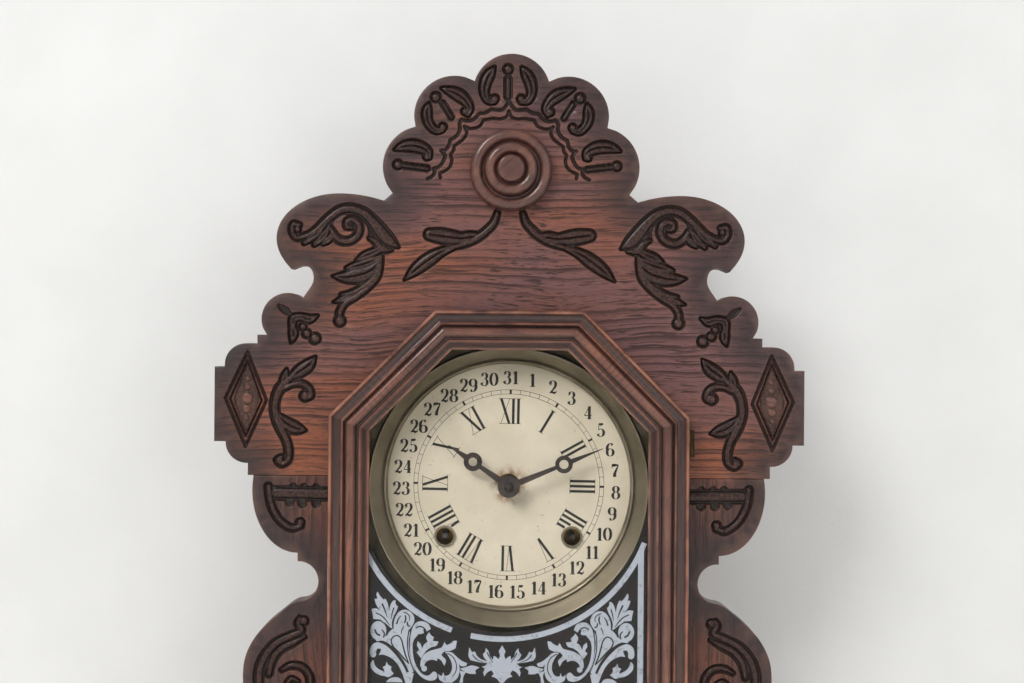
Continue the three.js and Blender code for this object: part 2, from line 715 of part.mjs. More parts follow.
function dialParts() {
  const paperBack = paperDepth + paperThickness;
  const panFront = paperBack + seatGap;
  const panBack = panFront + panThickness;
  const flangeFront = panFlangeDepth;
  const flangeBack = flangeFront + panThickness;
  const holes = [
    rod(centreHoleRadius, 0, panBack + 2, 14),
    ...[-1, 1].map((side) => rod(grommetTube + seatGap, 0, panBack + 2, 12, side * windingX, windingZ)),
  ];
  const pan = turned([
    [0, panFront], [panWallRadius - panThickness, panFront], [panWallRadius - panThickness, flangeFront],
    [panFlangeRadius, flangeFront], [panFlangeRadius, flangeBack], [panWallRadius, flangeBack],
    [panWallRadius, panBack], [0, panBack],
  ], 32);
  piece('dial_pan', cut(pan, ...holes), 'tin', dial);
  piece('dial_paper', cut(rod(paperRadius, paperDepth, paperBack, 28), ...holes), 'paper', dial);

  const front = paperDepth - seatGap;
  const seat = flangeFront - seatGap;
  const lip = paperRadius - bezelLip;
  const cone = paperRadius + bezelBead;
  const top = paperRadius + bezelCone;
  piece('bezel', ring([
    [lip, front], [lip, front - bezelSheet * bezelBead], [(lip + cone) / 2, front - 1.2 * bezelBead],
    [cone, front - bezelSheet * bezelBead], [top, bezelFront + bezelSheet / 2],
    [top + bezelCurl / 2, bezelFront], [top + bezelCurl, bezelFront + bezelSheet],
    [panWallRadius - bezelSheet, seat - bezelSheet],
    [panFlangeRadius, seat - bezelSheet], [panFlangeRadius, seat], [top + 2 * bezelSheet, seat],
    [top + bezelSheet, bezelFront + bezelBead], [cone + bezelSheet, front],
  ], 28), 'bezelBrass', dial);

  for (const [name, side] of [['grommet_left', -1], ['grommet_right', 1]]) {
    piece(name, ring([
      [grommetBore, front - grommetRise], [grommetRadius, front - grommetRise], [grommetRadius, front],
      [grommetTube, front], [grommetTube, panBack + grommetLap], [grommetBore, panBack + grommetLap],
    ], 14), 'bezelBrass', dial, side * windingX, 0, windingZ);
  }

  const stripFront = flangeBack + seatGap;
  const inner = caseHalfWidth - panelThickness - seatGap;
  for (const [name, side] of [['dial_strip_left', -1], ['dial_strip_right', 1]]) {
    const ends = [side * (panWallRadius + seatGap), side * inner].sort((a, b) => a - b);
    const strip = box(...ends, stripFront, stripFront + stripDepth, -stripHalfHeight, stripHalfHeight);
    piece(name, strip, 'plainWood', dial);
  }
}

// ================= hands and motion work =================

function handOutline(hand) {
  // a straight tapered hand with one pierced ring, pointing up
  const ringFoot = Math.sqrt(hand.outer ** 2 - handNeck ** 2);
  const ringTop = Math.sqrt(hand.outer ** 2 - handShoulder ** 2);
  const path = new THREE.Path();
  path.moveTo(0, -handHub);
  path.absarc(0, 0, handHub, -Math.PI / 2, Math.acos(handRoot / handHub), false);
  path.lineTo(handNeck, hand.ring - ringFoot);
  const startAngle = -Math.asin(ringFoot / hand.outer);
  path.absarc(0, hand.ring, hand.outer, startAngle, Math.asin(ringTop / hand.outer), false);
  path.lineTo(handShoulder, hand.ring + ringTop);
  path.lineTo(0, hand.length);
  return middleOutline(path.getPoints(4));
}

function handBlade(hand, bore) {
  const blade = slab(handOutline(hand), 0, handThickness, [
    circle(hand.inner, 10, { x: 0, z: hand.ring }).reverse(), circle(bore, 12).reverse(),
  ]);
  return blade.rotateY(THREE.MathUtils.degToRad(hand.angle));
}

function toothedOutline(wheel, towards) {
  // straight-sided teeth with a gap on the line towards the pinion
  const pitch = wheel.module ? (wheel.teeth * wheel.module) / 2 : wheel.radius - wheelUnit(wheel);
  const unit = wheelUnit(wheel);
  const tip = pitch + unit;
  const half = THREE.MathUtils.radToDeg((toothTip * unit) / tip);
  const step = fullTurn / wheel.teeth;
  const outline = [];
  for (let i = 0; i < wheel.teeth; i += 1) {
    const gap = towards + i * step;
    outline.push(polar(pitch - toothRoot * unit, gap));
    const crest = gap + step / 2;
    if (unit > fineModule) outline.push(polar(tip, crest - half), polar(tip, crest + half));
    else outline.push(polar(tip, crest));
  }
  return outline;
}

function wheelUnit(wheel) {
  return wheel.module ?? (2 * wheel.radius) / (wheel.teeth + 2);
}

function crossings(rim, hub, spokes, width) {
  // openings between the spokes of a wheel
  return Array.from({ length: spokes }, (_, i) => {
    const middle = (fullTurn * (i + 0.5)) / spokes;
    const outerHalf = halfTurn / spokes - THREE.MathUtils.radToDeg(width / 2 / rim);
    const innerHalf = halfTurn / spokes - THREE.MathUtils.radToDeg(width / 2 / hub);
    const outer = [-1, 0, 1].map((share) => polar(rim, middle + share * outerHalf));
    const inner = [1, -1].map((share) => polar(hub, middle + share * innerHalf));
    return [...outer, ...inner].reverse();
  });
}

function toothedWheel(wheel, towards, y, bore, spokes = 4, hub = 0) {
  const pitch = wheel.module ? (wheel.teeth * wheel.module) / 2 : wheel.radius;
  const holes = bore > 0 ? [circle(bore, 8).reverse()] : [];
  const eye = Math.max(hub, pitch * hubShare);
  if (spokes > 0) holes.push(...crossings(pitch * rimShare, eye, spokes, pitch * spokeShare));
  return slab(toothedOutline(wheel, towards), y, y + wheel.thickness, holes);
}

function lanternPinion(leaves, module, towards, wheelY, wheelThickness) {
  // pins between two round shrouds, one pin on the line towards the wheel
  const pitch = (leaves * module) / 2;
  const y0 = wheelY - shroudRoom - shroudThickness;
  const y1 = wheelY + wheelThickness + shroudRoom + shroudThickness;
  const shroud = pitch + shroudShare * module;
  const pins = circle(pitch, leaves, undefined, towards).map((p) =>
    rod(pinShare * module, y0 + shroudThickness / 2, y1 - shroudThickness / 2, 4, p.x, p.y));
  return [
    rod(shroud, y0, y0 + shroudThickness, 8), rod(shroud, y1 - shroudThickness, y1, 8), ...pins,
  ];
}

function meshDistance(wheel, leaves) {
  return ((wheel.teeth + leaves) * wheel.module) / 2;
}

const middle = { x: 0, z: 0 };
const windingRight = { x: windingX, z: windingZ };
const windingLeft = { x: -windingX, z: windingZ };
const escape = { x: 0, z: escapeHeight };
const secondPlace = meeting(windingRight, meshDistance(greatWheel, secondLeaves), middle,
  meshDistance(secondWheel, centreLeaves), -1);
const thirdPlace = meeting(middle, meshDistance(centreWheel, thirdLeaves), escape,
  meshDistance(thirdWheel, escapeLeaves), -1);
const strikeSecondPlace = { x: -secondPlace.x, z: secondPlace.z };
const offset = (from, distance, degrees) => {
  const p = polar(distance, degrees, from);
  return { x: p.x, z: p.y };
};
const hammerWheelPlace = offset(strikeSecondPlace, meshDistance(strikeSecondWheel, hammerLeaves),
  hammerWheelDirection);
const flyPlace = offset(hammerWheelPlace, meshDistance(hammerWheel, flyLeaves), flyDirection);
const motionPlace = offset(middle, meshDistance(motionWheel, cannonLeaves), motionDirection);
const hammerPlace = { x: hammerX, z: hammerZ };
const verge = { x: 0, z: vergeHeight };

const greatY = backPlateFront - greatWheel.backRoom - greatWheel.thickness;
const wheelY = (wheel) => frontPlateBack + wheel.depth;
const motionY = frontPlateDepth - motionWheel.depth;
const hourY = frontPlateDepth - hourWheel.depth;

function arbor(radius) {
  // steel arbor with a smaller pivot in each plate
  const from = frontPlateDepth + seatGap;
  const to = backPlateBack - seatGap;
  return turned([
    [0, from], [pivotRadius, from], [pivotRadius, frontPlateBack + runGap],
    [radius, frontPlateBack + runGap], [radius, backPlateFront - runGap],
    [pivotRadius, backPlateFront - runGap], [pivotRadius, to], [0, to],
  ], 6);
}

function handsAndMotionWork() {
  const cannonY = motionY;
  const cannon = lanternPinion(cannonLeaves, motionWheel.module, motionDirection, cannonY,
    motionWheel.thickness);
  const nutFront = minuteHandDepth - nutHeight;
  const stem = turned([
    [0, nutFront], [0.55 * nutRadius, nutFront + 0.12 * nutHeight],
    [0.9 * nutRadius, nutFront + nutHeight / 2],
    [nutRadius, minuteHandDepth - seatGap], [minuteArbor, minuteHandDepth - seatGap],
    [minuteArbor, backPlateBack - seatGap], [0, backPlateBack - seatGap],
  ], 8);
  piece('minute_arbor', join(stem, ...cannon), 'steel', movement);
  const minuteBlade = handBlade(minuteHand, minuteArbor + seatGap);
  const hourBlade = handBlade(hourHand, hourPipe + seatGap);
  piece('minute_hand', minuteBlade, 'handSteel', movement, 0, minuteHandDepth, 0);
  piece('hour_hand', hourBlade, 'handSteel', movement, 0, hourHandDepth, 0);

  const pipeBore = minuteArbor + runGap;
  const cannonFront = cannonY - shroudRoom - shroudThickness;
  const pipe = ring([
    [pipeBore, hourHandDepth - pipeReach], [hourPipe, hourHandDepth - pipeReach],
    [hourPipe, cannonFront - runGap], [pipeBore, cannonFront - runGap],
  ], 12);
  const hourFace = toothedWheel(hourWheel, motionDirection, hourY, hourPipe - jointLap, 0);
  piece('hour_wheel', join(hourFace, pipe), 'brass', movement);

  const back = motionDirection + halfTurn;
  const pinion = lanternPinion(motionLeaves, hourWheel.module, back, hourY, hourWheel.thickness);
  const hub = rod(centreTube, hourY, frontPlateDepth - runGap, 8);
  const bore = rod(motionStud + runGap, 0, 2 * frontPlateDepth, 8);
  const motion = cut(join(toothedWheel(motionWheel, back, motionY, 0, 0), hub, ...pinion), bore);
  piece('motion_wheel', motion, 'brass', movement, motionPlace.x, 0, motionPlace.z);
}

// ================= movement =================

function plateOutline() {
  return [
    point(-plateHalfWidth, plateFoot), point(plateHalfWidth, plateFoot),
    point(plateHalfWidth, plateTop), point(-plateHalfWidth, plateTop),
  ];
}

function plates() {
  const pivots = [secondPlace, thirdPlace, escape, strikeSecondPlace, hammerWheelPlace, flyPlace];
  const pillars = [-1, 1].flatMap((side) => [
    { x: side * lowerPillar.x, z: lowerPillar.z }, { x: side * upperPillar.x, z: upperPillar.z },
  ]);
  const pivotHoles = pivots.map((p) => circle(pivotRadius + runGap, 6, p));
  const windingHoles = [windingLeft, windingRight].map((p) => circle(windingArbor + 1.5 * runGap, 10, p));
  const frontHoles = [
    ...pivotHoles, ...windingHoles, circle(centreTube + runGap, 12), circle(pivotRadius + runGap, 8, verge),
    circle(pivotRadius + runGap, 8, hammerPlace), ...pillars.map((p) => circle(pillarTenon + runGap, 8, p)),
    circle(plateEye.r, 10, plateEye),
  ];
  const backHoles = [
    ...pivotHoles, ...windingHoles, circle(minuteArbor + runGap, 8), circle(stoutArbor + runGap, 8, verge),
    circle(stoutArbor + runGap, 8, hammerPlace), circle(plateEye.r, 10, plateEye),
  ];
  const studFront = hourY - shroudRoom - shroudThickness - jointLap;
  const stud = rod(motionStud, studFront, frontPlateDepth + jointLap, 8, motionPlace.x, motionPlace.z);
  const frontSheet = slab(plateOutline(), frontPlateDepth, frontPlateBack,
    frontHoles.map((hole) => hole.reverse()));
  piece('front_plate', join(frontSheet, stud), 'brass', movement);
  const posts = pillars.flatMap((p) => [
    rod(pillarRadius, frontPlateBack + seatGap, backPlateFront + jointLap, 8, p.x, p.z),
    rod(pillarTenon, frontPlateDepth - tenonReach, frontPlateBack + 2 * jointLap, 8, p.x, p.z),
  ]);
  const backSheet = slab(plateOutline(), backPlateFront, backPlateBack,
    backHoles.map((hole) => hole.reverse()));
  piece('back_plate', join(backSheet, ...posts), 'brass', movement);
  for (const [name, side] of [['movement_block_left', -1], ['movement_block_right', 1]]) {
    const ends = [side * blockInner, side * blockOuter].sort((a, b) => a - b);
    const block = box(...ends, backPlateBack + seatGap, backBoardFront, plateFoot, plateTop);
    piece(name, block, 'plainWood', movement);
  }
}

function wheelOnArbor(name, place, shape, radius = arborRadius, finish = 'brass') {
  piece(name, join(arbor(radius), ...shape), finish, movement, place.x, 0, place.z);
}

function train() {
  // every wheel has a gap, and every pinion a pin, on its line of centres
  const second = wheelY(secondWheel);
  const secondPinion = (from, to) => lanternPinion(secondLeaves, greatWheel.module, direction(to, from),
    greatY, greatWheel.thickness);
  wheelOnArbor('time_second_wheel', secondPlace, [
    toothedWheel(secondWheel, direction(secondPlace, middle), second, 0),
    ...secondPinion(windingRight, secondPlace),
  ], stoutArbor);
  const centreY = wheelY(centreWheel);
  const tubeEnd = centreY + centreWheel.thickness + tubeOverhang;
  const tube = rod(centreTube, frontPlateDepth + jointLap, tubeEnd, 10);
  const centreFace = toothedWheel(centreWheel, direction(middle, thirdPlace), centreY, 0);
  const centrePinion = lanternPinion(centreLeaves, secondWheel.module, direction(middle, secondPlace),
    second, secondWheel.thickness);
  piece('centre_wheel', cut(join(tube, centreFace, ...centrePinion),
    rod(minuteArbor + runGap, 0, backPlateBack, 8)), 'brass', movement);
  wheelOnArbor('third_wheel', thirdPlace, [
    toothedWheel(thirdWheel, direction(thirdPlace, escape), wheelY(thirdWheel), 0),
    ...lanternPinion(thirdLeaves, centreWheel.module, direction(thirdPlace, middle), centreY,
      centreWheel.thickness),
  ]);
  wheelOnArbor('escape_wheel', escape, [
    toothedWheel(escapeWheel, 90, wheelY(escapeWheel), 0),
    ...lanternPinion(escapeLeaves, thirdWheel.module, direction(escape, thirdPlace), wheelY(thirdWheel),
      thirdWheel.thickness),
  ]);
  const strikeY = wheelY(strikeSecondWheel);
  wheelOnArbor('strike_second_wheel', strikeSecondPlace, [
    toothedWheel(strikeSecondWheel, direction(strikeSecondPlace, hammerWheelPlace), strikeY, 0),
    ...secondPinion(windingLeft, strikeSecondPlace),
  ], stoutArbor);
  wheelOnArbor('hammer_wheel', hammerWheelPlace, [
    toothedWheel(hammerWheel, direction(hammerWheelPlace, flyPlace), wheelY(hammerWheel), 0),
    ...lanternPinion(hammerLeaves, strikeSecondWheel.module, direction(hammerWheelPlace, strikeSecondPlace),
      strikeY, strikeSecondWheel.thickness),
  ]);
  const vaneFront = wheelY(hammerWheel) + hammerWheel.thickness + flyRoom;
  wheelOnArbor('fly', flyPlace, [
    box(-flyRadius, flyRadius, vaneFront, vaneFront + flyLength, -flyThickness / 2, flyThickness / 2),
    ...lanternPinion(flyLeaves, hammerWheel.module, direction(flyPlace, hammerWheelPlace),
      wheelY(hammerWheel), hammerWheel.thickness),
  ], arborRadius, 'steel');
}

// ================= springs and winding =================

function ratchetOutline() {
  return Array.from({ length: ratchetTeeth }, (_, i) => [
    polar(ratchetRadius, (fullTurn * i) / ratchetTeeth),
    polar(ratchetRadius - ratchetDepth, (fullTurn * (i + ratchetLean)) / ratchetTeeth),
  ]).flat();
}

function leastGap(points, turnSteps, thickness) {
  // least distance between neighbouring turns, measured on points of the middle line
  let least = Infinity;
  for (let i = 0; i < points.length; i += 1) {
    for (let j = i + Math.round(turnSteps / 2); j < points.length; j += 1) {
      least = Math.min(least, points[i].distanceTo(points[j]));
    }
  }
  return least - thickness;
}

function barrelSide(prefix, place, side) {
  const ratchetY = greatY - runGap - ratchetThickness;
  const springBack = ratchetY - runGap;
  const springFront = frontPlateBack + springFrontRoom;
  const hub = springInner - springStrip - 2 * runGap;
  const squareHalf = windingSquare / 2;
  const end = backPlateBack - seatGap;
  const arborShape = join(
    box(-squareHalf, squareHalf, paperDepth + squareSetback, frontPlateDepth - runGap,
      -squareHalf, squareHalf),
    rod(windingArbor, frontPlateDepth - 2 * jointLap, end, 8),
    rod(hub, springFront, springBack, 8),
    slab(ratchetOutline(), ratchetY, ratchetY + ratchetThickness),
  );
  piece(`${prefix}_winding_arbor`, arborShape, 'steel', movement, place.x, 0, place.z);

  const partner = side > 0 ? secondPlace : strikeSecondPlace;
  const face = toothedWheel(greatWheel, direction(place, partner), greatY, windingArbor + runGap, 4,
    ratchetRadius + 6);
  const click = slab([
    polar(ratchetRadius + runGap, 80), polar(ratchetRadius + clickReach, 84),
    polar(ratchetRadius + clickReach, 96), polar(ratchetRadius + 0.45 * clickReach, 98),
  ], ratchetY, greatY + runGap);
  piece(`${prefix}_great_wheel`, join(face, click), 'brass', movement, place.x, 0, place.z);

  // spiral strip from the arbor's hub out to the lower pillar
  const pillar = { x: side * lowerPillar.x - place.x, z: lowerPillar.z - place.z };
  const toPillar = Math.hypot(pillar.x, pillar.z);
  const leave = direction(middle, pillar) - side * springLeave;
  const steps = spiralSteps * springTurns;
  const middleY = (springFront + springBack) / 2;
  const route = [];
  for (let i = 0; i <= steps; i += 1) {
    const share = i / steps;
    const radius = springInner + (springOuter - springInner) * share;
    const angle = leave - side * fullTurn * springTurns * (1 - share);
    const p = polar(radius, angle);
    route.push(new THREE.Vector3(p.x, middleY, p.y));
  }
  console.log(`${prefix} mainspring least gap ${leastGap(route, spiralSteps, springStrip).toFixed(2)} mm`);
  const stop = toPillar - pillarRadius - springStrip / 2 - runGap;
  for (const share of [1 / 3, 2 / 3, 1]) {
    const p = polar(springOuter + (stop - springOuter) * share, leave + side * springLeave * share);
    route.push(new THREE.Vector3(p.x, middleY, p.y));
  }
  piece(`${prefix}_mainspring`, stripAlong(route, springStrip / 2, (springBack - springFront) / 2), 'steel',
    movement, place.x, 0, place.z);
}

function stripAlong(route, half, halfWidth) {
  // a flat strip on edge, one unbroken ribbon along the route
  const place = [];
  const index = [];
  route.forEach((p, i) => {
    const before = route[Math.max(0, i - 1)];
    const after = route[Math.min(route.length - 1, i + 1)];
    const along = after.clone().sub(before).normalize();
    const side = new THREE.Vector3(-along.z, 0, along.x).multiplyScalar(half);
    for (const [s, t] of [[1, -1], [1, 1], [-1, 1], [-1, -1]]) {
      place.push(p.x + s * side.x, p.y + t * halfWidth, p.z + s * side.z);
    }
  });
  const last = 4 * (route.length - 1);
  for (let i = 0; i < last; i += 4) {
    for (let k = 0; k < 4; k += 1) {
      const n = (k + 1) % 4;
      index.push(i + k, i + n, i + 4 + k, i + n, i + 4 + n, i + 4 + k);
    }
  }
  index.push(0, 2, 1, 0, 3, 2, last, last + 1, last + 2, last, last + 2, last + 3);
  const geometry = new THREE.BufferGeometry();
  geometry.setAttribute('position', new THREE.Float32BufferAttribute(place, 3));
  geometry.setIndex(index);
  return clean(geometry);
}

// ================= verge, pendulum, hammer and gong =================

function vergeAndCrutch() {
  const y = wheelY(escapeWheel);
  const reach = escapeWheel.radius + palletClearance;
  const right = polar(reach, 90 - palletAngle, escape);
  const arm = palletArm;
  const shoulder = right.y + anchorHalf;
  const pallets = slab([
    point(-anchorHalf, vergeHeight + anchorHalf), point(-right.x - arm, shoulder),
    point(-right.x - arm, right.y), point(-right.x, right.y), point(-right.x, shoulder),
    point(0, vergeHeight - anchorHalf), point(right.x, shoulder), point(right.x, right.y),
    point(right.x + arm, right.y), point(right.x + arm, shoulder),
    point(anchorHalf, vergeHeight + anchorHalf),
  ], y - forkRoom, y + escapeWheel.thickness + forkRoom);
  const crutchY = backPlateBack + crutchRoom;
  const spindle = turned([
    [0, frontPlateDepth + seatGap], [pivotRadius, frontPlateDepth + seatGap],
    [pivotRadius, frontPlateBack + runGap], [stoutArbor, frontPlateBack + runGap],
    [stoutArbor, crutchY + crutchThickness], [0, crutchY + crutchThickness],
  ], 8).translate(0, 0, vergeHeight);
  const crutchHalf = crutchWidth / 2;
  const low = forkHeight - crutchThickness;
  const high = forkHeight + crutchThickness;
  const wire = box(-crutchHalf, crutchHalf, crutchY, crutchY + crutchThickness, low, vergeHeight);
  const forkHalf = rodRadius + forkRoom;
  const forkOuter = forkHalf + forkBar;
  const slotBack = pendulumY + forkHalf;
  const loop = cut(
    box(-forkOuter, forkOuter, crutchY, slotBack + forkBar, low, high),
    box(-forkHalf, forkHalf, pendulumY - forkHalf, slotBack, low - jointLap, high + jointLap),
  );
  piece('verge', join(pallets, spindle, wire, loop), 'steel', movement);
}

function pendulum() {
  const cockFront = backPlateBack + seatGap;
  const half = cockHalf;
  const room = springHalfWidth + runGap + cockPlay;
  const cock = cut(
    box(-half, half, cockFront, pendulumY + half, suspensionHeight - half, suspensionHeight + half),
    box(-cockSlot, cockSlot, pendulumY - room, pendulumY + room, suspensionHeight - 2 * half,
      suspensionHeight + half - 2 * jointLap),
  );
  piece('suspension_cock', cock, 'brass', movement);
  const bobZ = bobHeight - dialHeight;
  const stripFoot = suspensionHeight - suspensionLength;
  const strip = box(-suspensionHalf, suspensionHalf, pendulumY - springHalfWidth,
    pendulumY + springHalfWidth, stripFoot, suspensionHeight + half / 2);
  const nutTop = bobZ - bobRadius - ratingRoom;
  const rodTop = stripFoot + 2 * ratingRoom / 3;
  const stem = upright(rodRadius, nutTop - 2 * ratingHeight, rodTop, 8, 0, pendulumY);
  const nut = upright(ratingRadius, nutTop - ratingHeight, nutTop, 10, 0, pendulumY);
  piece('pendulum_rod', join(strip, stem, nut), 'steel', movement);
  const r = bobRadius;
  const h = bobThickness / 2;
  const profile = [
    [0, -h], [0.5 * r, -0.86 * h], [0.86 * r, -0.5 * h], [r, -0.12 * h],
    [r, 0.12 * h], [0.86 * r, 0.5 * h], [0.5 * r, 0.86 * h], [0, h],
  ];
  const lens = turned(profile, 20).translate(0, pendulumY, bobZ);
  const bore = upright(rodRadius + seatGap, bobZ - 2 * bobRadius, bobZ + 2 * bobRadius, 8, 0, pendulumY);
  piece('pendulum_bob', cut(lens, bore), 'brass', movement);
}

function gong() {
  const y = gongY;
  const post = gongPost;
  const steps = Math.round(spiralSteps * gongTurns);
  const gongZ = gongHeight - dialHeight;
  const start = post + runGap;
  const route = [start, start + 2 * gongWire].map((x) => new THREE.Vector3(x, y, 0));
  const spiral = [];
  for (let i = 1; i <= steps; i += 1) {
    const share = i / steps;
    const p = polar(gongInner + (gongOuter - gongInner) * share, fullTurn * gongTurns * share);
    spiral.push(new THREE.Vector3(p.x, y, p.y));
  }
  console.log(`gong coil least gap ${leastGap(spiral, spiralSteps, 2 * gongWire).toFixed(2)} mm`);
  const section = circle(gongWire, 6);
  piece('gong_coil', tubeAlong([...route, ...spiral], section, steps + 4), 'steel', movement, 0, 0, gongZ);
  const back = backBoardFront;
  const block = join(
    rod(post, y - gongWire - postCap, back - seatGap, 12),
    rod(post + postFlange, back - seatGap - postCap, back - seatGap, 12),
  );
  piece('gong_block', block, 'steel', movement, 0, 0, gongZ);
}

function hammer() {
  const head = {
    x: -gongOuter - gongWire - hammerGap - hammerHeadLength / 2, z: gongHeight - dialHeight,
  };
  const dx = head.x - hammerPlace.x;
  const dz = head.z - hammerPlace.z;
  const length = Math.hypot(dx, dz);
  const y = gongY;
  const spindle = turned([
    [0, frontPlateDepth + seatGap], [pivotRadius, frontPlateDepth + seatGap],
    [pivotRadius, frontPlateBack + runGap], [stoutArbor, frontPlateBack + runGap],
    [stoutArbor, y + 2 * hammerWire], [0, y + 2 * hammerWire],
  ], 8);
  const wire = new THREE.CylinderGeometry(hammerWire, hammerWire, length, 8)
    .rotateX(Math.PI / 2).rotateY(Math.atan2(dx, dz)).translate(dx / 2, y, dz / 2);
  const knob = new THREE.CylinderGeometry(hammerHead, hammerHead, hammerHeadLength, 14)
    .rotateZ(Math.PI / 2).translate(dx, y, dz);
  piece('hammer', join(spindle, wire, knob), 'steel', movement, hammerPlace.x, 0, hammerPlace.z);
}

frontBoards();
rosette();
boxCase();
doorFrame();
hinge('lower');
hinge('upper');
latch();
dialParts();
handsAndMotionWork();
plates();
train();
barrelSide('time', windingRight, 1);
barrelSide('strike', windingLeft, -1);
vergeAndCrutch();
pendulum();
gong();
hammer();

export default clock;
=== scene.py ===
import math

import bmesh
import bpy
import numpy as np
from mathutils import Matrix, Vector
from mathutils.geometry import delaunay_2d_cdt


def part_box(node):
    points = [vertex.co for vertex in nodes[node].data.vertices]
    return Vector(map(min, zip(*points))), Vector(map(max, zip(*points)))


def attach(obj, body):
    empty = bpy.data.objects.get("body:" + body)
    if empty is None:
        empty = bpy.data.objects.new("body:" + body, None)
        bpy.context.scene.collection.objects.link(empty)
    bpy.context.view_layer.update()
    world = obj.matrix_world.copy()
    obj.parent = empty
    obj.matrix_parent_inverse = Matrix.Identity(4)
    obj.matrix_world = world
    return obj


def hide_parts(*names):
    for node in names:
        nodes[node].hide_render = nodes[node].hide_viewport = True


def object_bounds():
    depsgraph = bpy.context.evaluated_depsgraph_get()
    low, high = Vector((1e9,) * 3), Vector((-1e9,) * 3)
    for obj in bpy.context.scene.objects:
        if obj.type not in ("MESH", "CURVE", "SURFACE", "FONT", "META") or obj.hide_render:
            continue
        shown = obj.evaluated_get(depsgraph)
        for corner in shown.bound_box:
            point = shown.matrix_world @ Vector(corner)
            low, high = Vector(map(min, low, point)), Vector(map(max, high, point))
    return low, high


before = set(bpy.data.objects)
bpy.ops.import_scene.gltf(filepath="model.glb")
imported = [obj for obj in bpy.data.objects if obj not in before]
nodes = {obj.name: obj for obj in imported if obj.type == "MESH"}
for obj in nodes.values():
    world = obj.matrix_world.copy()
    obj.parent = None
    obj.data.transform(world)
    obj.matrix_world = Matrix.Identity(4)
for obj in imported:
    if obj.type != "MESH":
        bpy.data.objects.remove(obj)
cadLow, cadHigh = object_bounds()
mm = 0.001


def nodeBox(name):  # corners of a CAD node, in millimetres
    low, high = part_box(name)
    return low / mm, high / mm


boardFace = nodeBox("headboard")[0].y
boardBack = nodeBox("headboard")[1].y
boardJoint = nodeBox("headboard")[0].z
baseTop = nodeBox("base_board")[1].z
doorBack = nodeBox("door_rail_top")[1].y
doorTop = nodeBox("door_rail_top")[1].z
doorFoot = nodeBox("door_rail_bottom")[0].z
doorHalfWidth = nodeBox("door_rail_bottom")[1].x
paperFace = nodeBox("dial_paper")[0].y
dialHeight = (nodeBox("dial_paper")[0].z + nodeBox("dial_paper")[1].z) / 2
print("frame loaded:", len(nodes), "nodes")

# ---- camera: level, in front of the headboard, looking straight at the wall ----
viewPoint = {"x": 1.3, "distance": 700, "height": 385.8, "lens": 40.7, "roll": 0.45}
cameraData = bpy.data.cameras.new("camera")
cameraData.lens = viewPoint["lens"]
cameraData.sensor_width = 36
cameraData.clip_start = 0.01
camera = bpy.data.objects.new("camera", cameraData)
bpy.context.scene.collection.objects.link(camera)
camera.matrix_world = (
    Matrix.Translation(Vector((viewPoint["x"], boardFace - viewPoint["distance"], viewPoint["height"])) * mm)
    @ Matrix.Rotation(math.pi / 2, 4, "X")
    @ Matrix.Rotation(math.radians(viewPoint["roll"]), 4, "Z")
)
bpy.context.scene.camera = camera
bpy.context.scene.view_settings.view_transform = "Standard"


# ---- materials ----
def toLinear(code):  # sRGB hex to the linear colour that a socket takes
    channels = [int(code[i:i + 2], 16) / 255 for i in (1, 3, 5)]
    linear = [c / 12.92 if c <= 0.04045 else ((c + 0.055) / 1.055) ** 2.4 for c in channels]
    return (*linear, 1.0)


def addNode(tree, kind, inputs=None, **settings):
    node = tree.nodes.new(kind)
    for key, value in settings.items():
        setattr(node, key, value)
    for key, value in (inputs or {}).items():
        socket = node.inputs[key]
        if isinstance(value, bpy.types.NodeSocket):
            tree.links.new(value, socket)
        else:
            socket.default_value = toLinear(value) if socket.type == "RGBA" else value
    return node


def startMaterial(name):
    material = bpy.data.materials.new(name)
    material.use_nodes = True
    tree = material.node_tree
    tree.nodes.clear()
    return material, tree, addNode(tree, "ShaderNodeTexCoord").outputs["Object"]


def blend(tree, factor, first, second):  # a colour mix of two sockets or hex values
    return addNode(tree, "ShaderNodeMix", {0: factor, 6: first, 7: second}, data_type="RGBA").outputs[2]


def scaled(tree, value, share):  # one value of 0 to 1 times another
    return addNode(tree, "ShaderNodeMath", {0: value, 1: share}, operation="MULTIPLY").outputs[0]


def patchNoise(tree, place, size, detail=3.0, stretch=(1, 1, 1), low=0.35, high=0.65):
    # soft patches of about that size in millimetres, as 0 to 1
    scale = [share / (size * mm) for share in stretch]
    mapped = addNode(tree, "ShaderNodeMapping", {"Vector": place, "Scale": scale})
    noise = addNode(tree, "ShaderNodeTexNoise", {"Vector": mapped.outputs[0], "Scale": 1.0,
                                                 "Detail": detail})
    ramp = addNode(tree, "ShaderNodeMapRange", {0: noise.outputs[0], 1: low, 2: high}, clamp=True)
    return ramp.outputs[0]


grainTurns = {
    "across": (0, 0, 0),
    "upright": (0, math.pi / 2, 0),
    "rising": (0, math.pi / 4, 0),
    "falling": (0, -math.pi / 4, 0),
    "inward": (0, 0, math.pi / 2),
}

